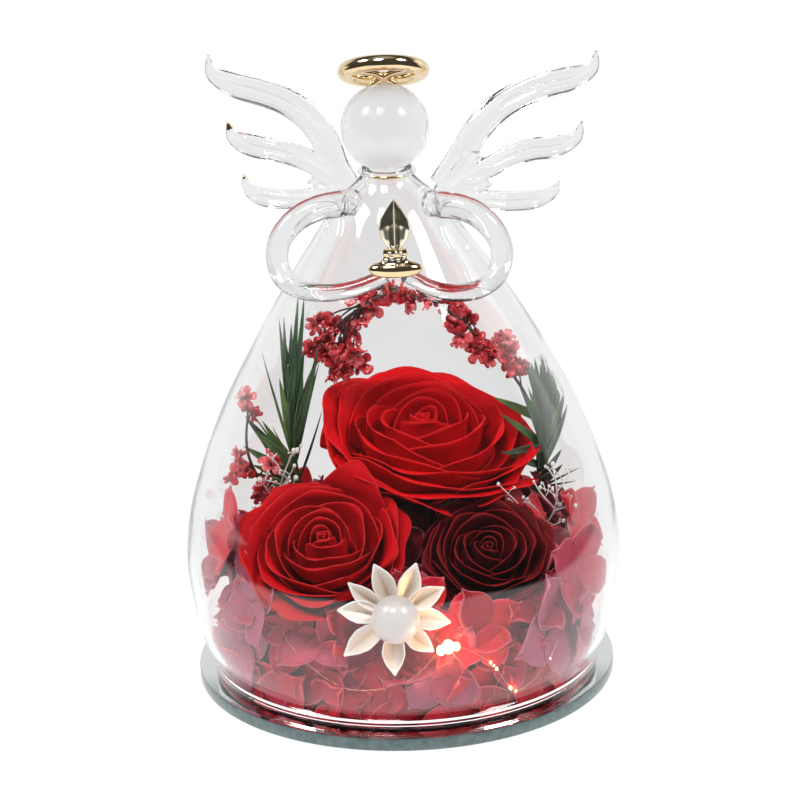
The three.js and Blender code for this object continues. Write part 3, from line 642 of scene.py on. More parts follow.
def makeDome():
    outside = [place for place in domeOutline().tolist() if place[1] > dome["lipTop"]]
    piece = turnedPiece([*dome["lip"], *outside, *domeInside[::-1].tolist()], dome["steps"])
    points = pointsOf(piece)
    points[:, 0] += lean(points[:, 2] / mm) * mm
    movePoints(piece, points)
    smoothShade(piece, 60)
    finishPiece(piece, "dome_glass", [glassLook["dome"], glassLook["foot"]], ["glass_dome"])
    # these bands become white mirror metal, flat shaded: a painted glint along the glass lip
    for face in piece.data.polygons:
        x, y, z = face.center / mm
        bright = any(low < z < high for low, high in dome["glintBands"])
        if bright and math.hypot(x, y) > dome["glintBandsFrom"]:
            face.material_index, face.use_smooth = 1, False


head = {"radius": 13.0, "wall": 0.7, "place": (-1.9, 0, 172)}
collar = {"radius": 8.2, "halfWidth": 0.5, "height": 158.9, "goldFrom": 7.0}


def makeHead():
    deselectAll()
    bpy.ops.mesh.primitive_uv_sphere_add(segments=96, ring_count=48, radius=head["radius"] * mm)
    piece = bpy.context.object
    movePoints(piece, pointsOf(piece) + np.array(head["place"]) * mm)
    thicken(piece, head["wall"], -1.0)
    smoothShade(piece)
    finishPiece(piece, "head_glass", glassLook["head"], ["glass_head"])
    deselectAll()
    bpy.ops.mesh.primitive_torus_add(major_radius=collar["radius"] * mm, minor_radius=collar["halfWidth"] * mm,
                                     major_segments=96, minor_segments=16)
    ring = bpy.context.object
    points = pointsOf(ring)
    points[:, 2] += collar["height"] * mm
    points[:, 0] += lean(collar["height"]) * mm
    movePoints(ring, points)
    smoothShade(ring)
    finishPiece(ring, "collar_ring", [gold, glassLook["rod"]], ["neck_collar"])
    for face in ring.data.polygons:
        face.material_index = int(face.center.y > -collar["goldFrom"] * mm)


halo = {"radius": 11.2, "tube": 2.35, "place": (-1.9, 3.5, 188.1), "tilt": -28.0, "strut": 1.2,
        "strutRoute": [(-8.8, -4.5, -0.4), (-2.5, 0.2, -0.7), (3.5, 4.5, -3.2)]}


def makeHalo():
    deselectAll()
    bpy.ops.mesh.primitive_torus_add(major_radius=halo["radius"] * mm, minor_radius=halo["tube"] * mm,
                                     major_segments=120, minor_segments=32)
    parts = [bpy.context.object]
    for side in (-1, 1):
        points = [(side * x, y, z) for x, y, z in halo["strutRoute"]]
        parts.append(roundRod(points, 30, 16, lambda t: np.full_like(t, halo["strut"])))
    piece = joinPieces("halo", parts)
    turn = np.array(Matrix.Rotation(math.radians(halo["tilt"]), 3, "X"))
    movePoints(piece, pointsOf(piece) @ turn.T + np.array(halo["place"]) * mm)
    smoothShade(piece)
    finishPiece(piece, "halo_gold", gold, ["halo_ring"])


wing = {
    "depth": 1.9, "stations": 70, "sides": 32, "ridge": 0.2, "groove": 0.45, "voxel": 0.36,
    "softening": (0.5, 9),
    # places and radii of the gold lustre on tips and edges
    "goldLeft": [((-48.8, 16.5, 170.0), 2.2), ((-44.6, 15.5, 154.0), 1.3)],
    "goldRight": [((61.4, 17, 189.1), 0.8), ((29.8, 14, 163.4), 1.1), ((30.6, 14, 165.2), 1.0)],
    "left": [
        (4.3, [(-53.7, 17, 190.9), (-52.7, 17, 185.3), (-46.9, 16.5, 181.9), (-39.3, 16, 179.6),
               (-31.4, 15, 176.6), (-24.7, 14, 171.8), (-19.8, 12.5, 165), (-16.8, 11, 157.6), (-13, 9, 151)]),
        (3.6, [(-48.9, 16.5, 170.6), (-47, 16.5, 165.5), (-41.1, 16, 162.7), (-33.4, 15, 161.2),
               (-26.9, 14, 159.2), (-21, 12.5, 155.7), (-13, 9, 150.5)]),
        (3.1, [(-44.7, 15.5, 154.4), (-43.1, 15.5, 149.5), (-38.1, 15, 147), (-31.5, 14, 146.5),
               (-24.9, 12.5, 147.1), (-12, 8.5, 149.5)]),
        (2.5, [(-23.6, 13.2, 163.4), (-19.5, 12, 159.6), (-13, 9, 151)]),
        (2.4, [(-25.6, 13.0, 151.9), (-21, 12, 151.6), (-13, 9, 150.3)]),
    ],
    "right": [
        (4.3, [(61.4, 17, 189.1), (60, 17, 183.5), (53.7, 16.5, 180.7), (46.5, 16, 179.3), (39.3, 15, 177),
               (32.1, 14, 173.2), (25.7, 12.5, 167.3), (20.7, 11, 159.9), (14, 9, 151)]),
        (3.6, [(56.8, 16.5, 167.5), (55, 16.5, 162.5), (48.9, 16, 160), (41.7, 15, 159.6), (34.5, 14, 157.9),
               (27.5, 12.5, 154.9), (14, 9, 149.5)]),
        (3.1, [(50, 15.5, 149.7), (47.8, 15.5, 145.9), (42.4, 15, 144), (35.4, 14, 143.9), (28.8, 12.5, 144.9),
               (12, 8.5, 148.7)]),
        (2.5, [(26.2, 13.0, 160.0), (22.5, 12, 157.6), (14, 9, 151)]),
        (2.4, [(29.6, 13.0, 149.6), (25, 12, 150), (14, 9, 149.4)]),
    ],
}


def makeWing(side):
    feathers = []
    for widest, points in wing[side]:
        path = pathThrough(points, wing["stations"])

        def section(turn, t, widest=widest):
            swell = np.clip(0.06 + 0.94 * np.sin(np.pi / 2 * np.minimum(1, t / 0.3)), 0.06, 1)
            share = swell * (1 - 0.12 * ramp(t, 0.6, 1))
            width = widest * share
            depth = wing["depth"] * np.minimum(1, 0.35 + 0.65 * share)
            groove = wing["groove"] * np.exp(-(np.cos(turn) / 0.22) ** 2) * (np.sin(turn) > 0)
            ridges = wing["ridge"] * np.sin(6 * turn + 5 * t) * np.sin(np.pi * np.clip(t * 1.1, 0, 1))
            return width * np.cos(turn), depth * np.sin(turn) * (1 - groove + ridges)

        feathers.append(sweptPiece(path, wing["sides"], section, (0, -1, 0)))
    piece = joinPieces("wing", feathers)
    fused = piece.modifiers.new("fused", "REMESH")
    fused.mode = "VOXEL"
    fused.voxel_size = wing["voxel"] * mm
    softer = piece.modifiers.new("softer", "SMOOTH")
    softer.factor, softer.iterations = wing["softening"]
    applyModifiers(piece)
    smoothShade(piece)
    finishPiece(piece, "wing_glass_" + side, [glassLook["rod"], gold], ["wing_" + side])
    for face in piece.data.polygons:
        centre = np.array(face.center) / mm
        face.material_index = int(any(np.linalg.norm(centre - spot) < radius
                                      for spot, radius in wing["gold" + side.title()]))


arm = {
    "left": [(-9, -5, 151), (-21, -9, 150.8), (-28.4, -11, 148), (-33.3, -13, 142.9), (-34.6, -15, 137.5),
             (-33, -18, 132.5), (-28.1, -21, 129.7), (-20.7, -25, 129.6), (-13.4, -28, 131.3),
             (-6.9, -30, 134.2), (-2.8, -31, 136.3)],
    "right": [(8, -5, 149.8), (19.4, -9, 149.6), (26.1, -11, 146.4), (30.3, -13, 141), (31.3, -15, 135.5),
              (29.1, -18, 130.7), (24, -21, 128.1), (17.1, -25.5, 128.6), (10.5, -28.5, 131.3),
              (5.8, -30, 134.4), (2.8, -31, 136.3)],
    "radii": (4.2, 2.1), "rounding": 0.045,
}


def makeArm(side):
    first, last = arm["radii"]
    piece = roundRod(arm[side], 150, 32, lambda t: mix(first, last, t)
                     * np.sqrt(1 - np.clip(1 - t / arm["rounding"], 0, 0.995) ** 2))
    smoothShade(piece, 60)
    finishPiece(piece, "arm_glass_" + side, glassLook["rod"], ["arm_" + side])


hands = {
    "back": -31.0, "wrist": 144.6, "tips": 159.4, "halfWidth": 4.8, "depth": 2.3,
    "cuff": [(5.6, 136.3), (6.8, 136.8), (7.9, 138.4), (6.9, 139.7), (4.4, 140.5), (3.4, 142.0),
             (3.6, 143.2), (3.4, 144.3)],
    "cuffTop": 144.35, "cuffDepth": 0.42, "wristWidth": 3.6, "wristDepth": 1.45,
    # shares of the width and of the depth from the wrist to the tips
    "taper": ([0, 0.08, 0.2, 0.42, 0.6, 0.8, 0.93, 1], [0.4, 0.62, 0.85, 1.0, 0.88, 0.5, 0.2, 0.02]),
    "thinning": ([0, 0.2, 0.5, 0.8, 1], [0.8, 1.0, 1.0, 0.6, 0.1]),
    # small silver beads on the wrist: across, up, radius
    "beads": [
        (-2.6, 141.2, 0.75), (-0.9, 141.8, 0.85), (0.9, 141.3, 0.8), (2.5, 141.9, 0.7),
        (-1.6, 143.4, 0.7), (0.3, 143.6, 0.6), (1.7, 143.3, 0.65), (-0.4, 145.2, 0.5)],
}


def makeHands():
    outline = pathThrough([(r, 0, z) for r, z in hands["cuff"]], 40)[:, [0, 2]].tolist()
    foot = hands["cuff"][0][1]
    cuff = turnedPiece([(0.001, foot), *outline, (0.001, hands["cuffTop"])], 64)
    points = pointsOf(cuff)
    points[:, 1] = points[:, 1] * hands["cuffDepth"] + hands["back"] * mm
    movePoints(cuff, points)
    smoothShade(cuff, 60)
    beads = []
    for across, up, radius in hands["beads"]:
        deselectAll()
        bpy.ops.mesh.primitive_uv_sphere_add(segments=16, ring_count=10, radius=radius * mm)
        beads.append(bpy.context.object)
        front = hands["wristDepth"] * math.sqrt(max(0.1, 1 - (across / hands["wristWidth"]) ** 2))
        movePoints(beads[-1], pointsOf(beads[-1]) + np.array((across, hands["back"] - front, up)) * mm)
        smoothShade(beads[-1])
    finishPiece(joinPieces("beads", beads), "wrist_beads", silver)
    finishPiece(cuff, "cuff_gold", gold, ["gilt_cuff"])

    halves = []
    height = hands["tips"] - hands["wrist"]
    for side in (-1, 1):
        def place(u, v, side=side):
            turn = 2 * np.pi * u
            full = hands["halfWidth"] * np.clip(np.interp(v, *hands["taper"]), 0.02, 1)
            centre = full * 0.5
            x = side * (centre + full * 0.48 * np.cos(turn))
            thick = hands["depth"] * np.interp(v, *hands["thinning"])
            y = thick * np.sin(turn) * (0.75 + 0.25 * np.cos(turn))
            return np.column_stack([x, hands["back"] + y, hands["wrist"] + height * v])

        halves.append(gridPiece(24, 30, place))
        closeSeams(halves[-1], 0.001, capEnds=True)
    pair = joinPieces("pair", halves)
    smoothShade(pair, 60)
    finishPiece(pair, "hands_gold", softGold, ["praying_hands"])


makeDome()
makeHead()
makeHalo()
for side in ("left", "right"):
    makeWing(side)
    makeArm(side)
makeHands()
print("glass and gold made")


# The mirror plate

plate = {"radius": 63.5, "thickness": 4.0, "edge": 0.5, "silverFrom": 3.0}


def makePlate():
    radius, top, edge = plate["radius"], plate["thickness"], plate["edge"]
    outline = [(0.001, 0), (radius - edge, 0), (radius - 0.2, 0.08), (radius, edge), (radius, top - edge),
               (radius - 0.15, top - 0.15), (radius - edge, top), (0.001, top)]
    piece = turnedPiece(outline, 160)
    smoothShade(piece, 35)
    mirror = newMaterial("mirror", Base_Color=(0.80, 0.84, 0.83), Metallic=1.0, Roughness=0.02)[0]
    rubbed, nodes, shader = newMaterial("ground edge", Roughness=0.35, Coat_Weight=0.6, Coat_Roughness=0.1)
    look = nodes.group(mottle, Colour=(0.105, 0.155, 0.16), Dark=(0.045, 0.085, 0.085), Scale=420.0, Amount=0.8,
                       Grain=0.5)
    applyLook(nodes, look, shader)
    finishPiece(piece, "plate_mirror", [mirror, rubbed], ["mirror_plate"])
    for face in piece.data.polygons:
        silvered = face.normal.z > 0.9 and face.center.z > plate["silverFrom"] * mm
        face.material_index = 0 if silvered else 1


makePlate()


# Where the brooch sits, and what keeps clear of it

brooch = {
    "place": (-2.9, -46.7, 35.6), "tilt": 70.0, "backing": 1.4, "pearl": 7.1, "gap": 0.3,
    # how far round it, and how far behind its petals' feet, other pieces keep clear; thickness of a petal
    "clear": (18.5, 2.2), "wall": 0.5, "disc": 5,
    # shares of a petal's half width from its foot to its tip
    "shape": ([0, 0.15, 0.35, 0.55, 0.75, 0.9, 1], [0.42, 0.62, 0.9, 1.0, 0.72, 0.30, 0.03]),
    # angle from the right, reach, half width
    "petals": [(110, 17.2, 3.5), (68, 17.4, 3.5), (31, 17.0, 3.3), (-5, 16.2, 3.4), (-42, 14.6, 3.2),
               (-92, 16.6, 3.5), (-146, 18.4, 3.5), (170, 17.2, 3.6), (141, 17.4, 2.8)],
}


def broochTurn():
    return np.array(Matrix.Rotation(math.radians(brooch["tilt"]), 3, "X"))


def clearOfBrooch(points):
    # points in front of the brooch's petals go behind them
    turn = broochTurn()
    reach, depth = brooch["clear"]
    local = (points - np.array(brooch["place"])) @ turn
    near = np.hypot(local[:, 0], local[:, 1]) < reach
    hit = near & (local[:, 2] > -depth)
    local[:, 2] = np.where(hit, -depth, local[:, 2])
    return np.where(hit[:, None], local @ turn.T + np.array(brooch["place"]), points)


# Roses, petal by petal from one family of cups

bloom = {
    "wall": 0.25, "grid": (30, 20), "crown": 0.615,
    # the wound ribbon in the middle, and the rims of the closed feet that the petals stand on
    "heart": {"turns": 1.6, "inside": 0.02, "breadth": 0.095, "foot": 0.05, "top": 0.56},
    "feet": (0.22, 0.34, 0.48, 0.63, 0.79, 0.9),
}
whorls = {
    # rim radius and height as shares of the rose's size, half angle, twist, closing at the top, rim roll,
    # side roll, tip, wave
    "core": (0.235, 0.590, 116, 0.12, 0.40, 0.00, 0.00, 0.01, 0.2),
    "bud": (0.33, 0.605, 108, 0.16, 0.24, 0.00, 0.00, 0.03, 0.4),
    "throat": (0.45, 0.595, 98, 0.14, 0.10, 0.02, 0.02, 0.05, 0.5),
    "cup": (0.585, 0.57, 86, 0.10, 0.04, 0.04, 0.03, 0.06, 0.7),
    "bowl": (0.73, 0.52, 78, 0.09, 0.0, 0.06, 0.06, 0.07, 0.9),
    "saucer": (0.85, 0.45, 74, 0.08, 0.0, 0.10, 0.10, 0.09, 1.0),
    "skirt": (0.93, 0.37, 66, 0.05, 0.0, 0.13, 0.12, 0.11, 1.1),
    "guard": (0.99, 0.28, 56, 0.04, 0.0, 0.16, 0.13, 0.09, 1.2),
}

roses = {
    # droop: how far the outer rims sink; lift: how much higher they stand toward one side; heart: how far the
    # middle leans; petals: where each whorl's stand, anticlockwise from the right, some with a lift and a
    # share of the width of their own
    "top_rose": {"size": 30.0, "place": (9.3, 11.3, 61.3), "forward": 10, "sideways": 0, "droop": 0.72,
                 "lift": (0.42, 150), "heart": (-2.0, 1.5), "look": "red", "slot": "red_petal",
                 "petals": {"core": [40, 225], "bud": [80, 262], "throat": [60, 205, 310],
                            "cup": [85, 203, 310], "bowl": [105, 225, 338], "saucer": [150, 272, 30],
                            "skirt": [92, 195, 262, 335], "guard": [70, 128, (166, 0.15), 225, 285, 350]},
                 "seed": 3},
    "left_rose": {"size": 22.5, "place": (-22.6, -26, 44.6), "forward": 27, "sideways": -3, "droop": 0.55,
                  "lift": (0.1, 90), "heart": (-0.6, 0.6), "look": "bright", "slot": "red_petal",
                  "petals": {"core": [110, 290], "bud": [275, 80], "throat": [100, 250],
                             "cup": [150, 270, 30], "bowl": [75, 215, 325], "saucer": [110, 245, 350],
                             "skirt": [70, 165, 262, 20],
                             "guard": [(172, 0.1), 228, (118, 0.06), (64, 0.34, 0.72), 5]},
                  "seed": 5},
    "dark_rose": {"size": 17.7, "place": (25.1, -22.8, 41.8), "forward": 34, "sideways": 4, "droop": 0.5,
                  "lift": (0.1, 90), "heart": (-0.5, 0.5), "look": "dark", "slot": "dark_petal",
                  "petals": {"core": [70, 250], "bud": [230, 60], "throat": [10, 190], "cup": [95, 215, 330],
                             "bowl": [30, 160, 265], "saucer": [100, 205, 325],
                             "skirt": [60, 150, 235, 335], "guard": [110, 40, 182, 300]},
                  "seed": 8},
}


def roseTurn(rose):
    return np.array(Matrix.Rotation(math.radians(rose["forward"]), 3, "X")
                    @ Matrix.Rotation(math.radians(rose["sideways"]), 3, "Y"))


def rimHeight(rose, rim, height, turn):
    share, toward = rose["lift"]
    crown = bloom["crown"]
    return (crown - (crown - height) * rose["droop"]
            + share * np.cos(turn - math.radians(toward)) * max(0, rim - 0.5))


def petalCurve(rim, height, s):
    # a petal from its foot, out along its belly and up its wall to the rim, for a rose of size 1
    points = [(0.05 + 0.10 * rim, -0.12 * rim), (0.05 + 0.80 * rim, -0.07 * rim), (rim * 0.99, 0.5 * height),
              (rim, height)]
    weights = [(1 - s) ** 3, 3 * s * (1 - s) ** 2, 3 * s * s * (1 - s), s ** 3]
    return sum(w * r for w, (r, _) in zip(weights, points)), sum(w * z for w, (_, z) in zip(weights, points))


def makeRose(name, rose):
    rng = random.Random(rose["seed"])
    size = rose["size"]
    petals = []
    for kind, (rim, height, halfAngle, twist, closing, rimRoll, sideRoll, tip, wave) in whorls.items():
        for spot in rose["petals"][kind]:
            azimuth, lift, share = (*spot, 1, 1)[:3] if isinstance(spot, tuple) else (spot, 0, 1)
            azimuth += rng.uniform(-4, 4)
            rim1 = rim * rng.uniform(0.97, 1.03)
            lift += rng.uniform(-0.012, 0.012)
            phase = rng.uniform(0, 6.28)
            lopsided = rng.uniform(-0.35, 0.35) * share ** 4
            curl = rng.uniform(0.6, 1.3)

            def place(u, v):
                u = 2 * u - 1
                side = np.abs(u)
                turn = np.radians(azimuth + u * halfAngle * share * (0.6 + 0.4 * np.sin(np.pi / 2 * v)))
                point = np.exp(-((u - lopsided) / 0.22) ** 2)
                s = v * (1 - 0.30 / share ** 2 * side ** 2.4 * v) + tip / share ** 2 * point * v ** 6
                r, z = petalCurve(rim1 * (1 + twist * u), rimHeight(rose, rim, height, turn) + lift,
                                  np.minimum(s, 1))
                r = r * (1 - closing * ramp(s, 0.3, 1.0))
                over = np.maximum(s - 1, 0)
                roll = (rimRoll * curl * ramp(s, 0.72, 1.05) ** 1.5
                        + sideRoll * ramp(side, 0.5, 1.0) * ramp(v, 0.45, 1))
                r = (r + roll * 0.9 + over * 0.9) * size
                z = (z - roll * roll * 2.2 + over * 0.25) * size
                waves = np.sin(4.3 * u + phase) + 0.45 * np.sin(9.1 * u + 2 * phase)
                ripple = wave * size / 22 * v ** 2.4 * waves
                r = r - ripple * 0.5
                z = z + ripple * 0.25
                flat = 1 - 0.05 * np.cos(np.pi * u) * rim * v
                return np.column_stack([r * flat * np.cos(turn), r * flat * np.sin(turn), z])

            petals.append(gridPiece(*bloom["grid"], place))
    heart = bloom["heart"]

    def spiral(u, v):
        turn = u * heart["turns"] * 2 * np.pi + rose["seed"]
        r = (size * (heart["inside"] + heart["breadth"] * u) * (0.85 + 0.15 * v)
             * (1 + 0.10 * np.sin(2 * turn + 1)))
        top = heart["top"] - 0.02 * u + 0.012 * np.sin(3 * turn)
        z = size * (heart["foot"] + v * (top - heart["foot"]))
        return np.column_stack([r * np.cos(turn), r * np.sin(turn), z])

    petals.append(gridPiece(40, 8, spiral))
    for rim in bloom["feet"]:
        def foot(u, v, rim=rim):
            r, z = petalCurve(rim, 0.5, v * 0.55)
            turn = 2 * np.pi * u
            return np.column_stack([r * np.cos(turn), r * np.sin(turn), z]) * size

        petals.append(gridPiece(40, 6, foot))
    piece = joinPieces(name, petals)
    points = pointsOf(piece) / mm
    inner = np.clip(1 - (np.hypot(points[:, 0], points[:, 1]) / size) ** 2, 0, 1)[:, None]
    points[:, :2] += inner * rose["heart"]
    points = points @ roseTurn(rose).T + np.array(rose["place"])
    movePoints(piece, insideGlass(clearOfBrooch(points)) * mm)
    thicken(piece, bloom["wall"])
    smoothShade(piece)
    nodes = [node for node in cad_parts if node.startswith(name) and "stem" not in node]
    finishPiece(piece, name + "_bloom", petalLook[rose["look"]], nodes)


for name, rose in roses.items():
    makeRose(name, rose)
print("roses made")


# Hydrangea florets pressed round the foot of the dome

hydrangea = {
    "sepal": (14.0, 13.0), "wall": 0.3, "glassGap": 0.7,
    # height of the top, and how much higher it is to the right, to the left and at the back
    "top": (36, 17, 12, 6),
    # pressed down under a rose: depth below its outer petals, shares of its size out and up
    "press": (2.0, 1.02, 1.3),
    # distance from the glass, and how much more for each step that a floret is drawn in
    "inset": (3.2, 1.3), "leastInset": 2.2, "lowest": 7.5, "frontRadius": 44,
    # florets in view: angle round the dome, height, drawn in, size, spin, tone, upward tilt
    "placed": [
        (-82, 22, 2, 1.08, 45, 0.95, 0.15), (-65, 33, 5, 0.9, 20, 0.16, 0.1),
        (-60, 13, 2, 0.95, 70, 0.18, 0.1), (-41, 28, 2, 1.15, 10, 1.0, 0.1),
        (-28, 42, 2, 1.0, 60, 0.6, 0.2), (-14, 52, 4, 0.85, 30, 0.2, 0.5),
        (-157, 53, 3, 0.9, 30, 0.24, 0.3), (-18, 52, 16, 0.9, 75, 0.14, 0.8),
        (-100, 14, 2, 0.9, 15, 0.35, 0.2), (-117, 20, 3, 0.85, 50, 0.4, 0.1),
        (-128, 29, 5, 0.8, 80, 0.5, 0.2), (-140, 38, 3, 1.1, 40, 0.95, 0.15),
        (-150, 22, 2, 1.1, 25, 1.0, 0.1), (-125, 12, 2, 0.9, 0, 0.6, 0.1),
        (-105, 33, 7, 0.8, 60, 0.3, 0.3), (-90, 40, 9, 0.8, 20, 0.05, 0.4),
        (-50, 20, 6, 0.9, 40, 0.16, 0.2), (-75, 8, 3, 0.8, 30, 0.25, 0.0), (-90, 9, 3, 0.8, 75, 0.2, 0.0),
        (-36, 14, 2, 0.95, 35, 0.7, 0.1), (-48, 11, 4, 0.8, 60, 0.2, 0.0), (-57, 24, 4, 0.8, 5, 0.6, 0.2),
        (-24, 26, 2, 1.0, 50, 0.75, 0.1), (-70, 22, 6, 0.85, 70, 0.2, 0.1),
        (-112, 9, 3, 0.8, 35, 0.3, 0.0), (-138, 11, 3, 0.9, 60, 0.5, 0.0),
        (-146, 30, 6, 0.9, 10, 0.7, 0.1), (-110, 27, 6, 0.85, 20, 0.6, 0.2)],
    # height, radius, count
    "rows": [(5.5, 55, 24), (6.5, 50, 22), (11, 53, 18), (24, 54, 15), (37, 55, 13)],
    # drop under the top, radius, count
    "crown": [(8, 51, 13), (6, 42, 11), (2, 32, 9), (-6, 20, 7)],
    "grid": 8, "seed": 11, "floor": 4.6,
}


def hydrangeaTop(turn):
    base, right, left, back = hydrangea["top"]
    side = np.cos(turn)
    return base + right * max(0, side) ** 2 + left * max(0, -side) ** 2 + back * max(0, math.sin(turn))


def clearOfRoses(points):
    # points under a rose are pressed down below its outer petals
    depth, out, above = hydrangea["press"]
    for rose in roses.values():
        turn = roseTurn(rose)
        local = (points - np.array(rose["place"])) @ turn
        size = rose["size"]
        rho = np.hypot(local[:, 0], local[:, 1]) / size
        rim = rimHeight(rose, *whorls["guard"][:2], np.arctan2(local[:, 1], local[:, 0]))
        r, low = petalCurve(1.0, 0.0, np.linspace(0, 1, 30))
        gain = petalCurve(1.0, 1.0, np.linspace(0, 1, 30))[1] - low
        under = (np.interp(rho, r, low) + rim * np.interp(rho, r, gain)) * size - depth
        hit = (rho < out) & (local[:, 2] > under) & (local[:, 2] < size * above)
        local[:, 2] = np.where(hit, under, local[:, 2])
        points = np.where(hit[:, None], local @ turn.T + np.array(rose["place"]), points)
    return points


def makeFloret(centre, outward, spin, size, rng):
    # four broad sepals in one shallow cup
    normal = np.array(outward) / np.linalg.norm(outward)
    side = np.cross((0, 0, 1), normal)
    side = side / max(np.linalg.norm(side), 1e-6)
    up = np.cross(normal, side)
    long, wide = hydrangea["sepal"]
    sepals = []
    for k in range(4):
        turn = spin + k * math.pi / 2 + rng.uniform(-0.12, 0.12)
        grow = size * rng.uniform(0.88, 1.1)
        cup = rng.uniform(-0.2, 0.6)
        fold = rng.uniform(0.2, 2.6)
        waves = rng.uniform(0, 6.28)
        lift = 0.35 * (k % 2)
        rest = hydrangea["floor"] + rng.uniform(0, 0.9)
        pinch = rng.uniform(0.02, 0.14)

        def place(u, v):
            u = 2 * u - 1
            half = wide / 2 * grow * np.sin(np.pi * np.clip(0.02 + 0.95 * v, 0, 1) ** 0.85) ** 0.6
            along = long * grow * (v + 0.05 * (1 - u ** 2) * v + pinch * np.exp(-(u / 0.3) ** 2) * v ** 6)
            rise = (lift + cup * long * v ** 2 * 0.5 + fold * u ** 2 * v
                    + (0.4 * np.sin(4 * u + waves) + 0.25 * np.sin(9 * u + 2 * waves)) * v * v)
            x, y = along, half * u
            px = x * math.cos(turn) - y * math.sin(turn)
            py = x * math.sin(turn) + y * math.cos(turn)
            points = np.array(centre) + px[:, None] * side + py[:, None] * up + rise[:, None] * normal
            points = insideGlass(clearOfBrooch(clearOfRoses(points)), hydrangea["glassGap"])
            points[:, 2] = np.maximum(points[:, 2], rest)
            return insideGlass(points, hydrangea["glassGap"])

        sepals.append(gridPiece(hydrangea["grid"], hydrangea["grid"], place))
    return sepals


def makeSepalLook():
    material, nodes, shader = newMaterial("hydrangea sepal", Specular_IOR_Level=0.3, Sheen_Weight=0.08)
    lines = nodes.group(veins, Count=3.5, Waver=0.5, Breadth=0.6)
    # tone ramp: near black at 0 is painted shade for florets deep under the roses; bright crimson near 0.22 is,
    # on the lowest florets, painted light; the mauve and dusty pink above are the sepals' own colours
    shade = nodes.steps(toneOf(nodes), [
        (0.0, (0.07, 0.002, 0.008)), (0.12, (0.52, 0.002, 0.012)), (0.22, (0.74, 0.004, 0.018)),
        (0.45, (0.50, 0.012, 0.045)), (0.75, (0.46, 0.032, 0.085)), (1.0, (0.38, 0.07, 0.13))])
    deep = nodes.blend(0.6, shade, (0.14, 0.004, 0.02))
    look = nodes.group(mottle, Colour=shade, Scale=110.0, Amount=0.6, Grain=0.35)
    nodes.link(deep, look.inputs["Dark"])
    near = nodes.steps(lines.outputs["Height"], [(0.0, 0.9), (0.8, 0.15)])
    veined = nodes.blend(nodes.math("MULTIPLY", nodes.math("SUBTRACT", 1.0, lines.outputs["Veins"]), near),
                         look.outputs["Colour"], deep)
    edge = nodes.steps(lines.outputs["Rim"], [(0.93, 0.0), (0.985, 0.4)])
    applyLook(nodes, look, shader, 0.5, colour=nodes.blend(edge, veined, (0.72, 0.24, 0.28)))
    return material


def makeHydrangea():
    rng = random.Random(hydrangea["seed"])
    look = makeSepalLook()
    sectors = {"front": [], "right": [], "back": [], "left": []}
    spots = []
    inset, step = hydrangea["inset"]
    for angle, height, inward, size, spin, tone, tilt in hydrangea["placed"]:
        turn = math.radians(angle)
        radius = float(glassRadius(height)) - inset - step * inward
        spots.append((turn, height, radius, tilt, size, math.radians(spin), tone))
    for rows, fromTop in ((hydrangea["rows"], False), (hydrangea["crown"], True)):
        for level, radius, count in rows:
            for k in range(count):
                turn = 2 * math.pi * (k + rng.uniform(-0.25, 0.25)) / count + radius
                inFront = -2.8 < (turn + math.pi) % (2 * math.pi) - math.pi < -0.4
                radius1 = min(radius, hydrangea["frontRadius"]) if inFront and level > 10 else radius
                height = hydrangeaTop(turn) - level if fromTop else level + rng.uniform(-2, 2)
                # florets deep in the crown under the roses take the near-black end of the ramp: painted shade
                tone = rng.uniform(0.0, 0.12) if radius < 40 and fromTop else rng.uniform(0.1, 1)
                # the lowest rows take the brightest crimson: painted light standing in for light thrown up by
                # the mirror plate
                if level < 10 and not fromTop:
                    tone = rng.uniform(0.16, 0.26)
                tilt = rng.uniform(0.5, 1.3) if fromTop else rng.uniform(-0.2, 0.35)
                spots.append((turn, height, radius1 + rng.uniform(-3, 0.5), tilt, rng.uniform(0.8, 1.05),
                              rng.uniform(0, 6.28), tone))
    for turn, height, radius, tilt, size, spin, value in spots:
        radius = min(radius, float(glassRadius(height)) - hydrangea["leastInset"])
        centre = (radius * math.cos(turn), radius * math.sin(turn), max(hydrangea["lowest"], height))
        wander = rng.uniform(-0.3, 0.3)
        outward = (math.cos(turn + wander), math.sin(turn + wander), tilt)
        sepals = makeFloret(centre, outward, spin, size, rng)
        for sepal in sepals:
            setTone(sepal, min(1, max(0, value + rng.uniform(-0.08, 0.08) * (value > 0.12))))
        quarter = int(((math.degrees(turn) + 45) % 360) // 90)
        sectors[["right", "back", "left", "front"][quarter]] += sepals
    for name, sepals in sectors.items():
        piece = joinPieces("florets", sepals)
        thicken(piece, hydrangea["wall"])
        smoothShade(piece)
        finishPiece(piece, "florets_" + name, look, ["hydrangea_" + name])


makeHydrangea()
print("hydrangea made")


# Greenery: blades on two dark stems

def plainMaterial(name, colour, dark, roughness, scale=200.0, amount=0.6, grain=0.4, **values):
    material, nodes, shader = newMaterial(name, **values)
    look = nodes.group(mottle, Colour=colour, Dark=dark, Scale=scale, Amount=amount, Grain=grain)
    applyLook(nodes, look, shader, roughness, 0.15)
    return material


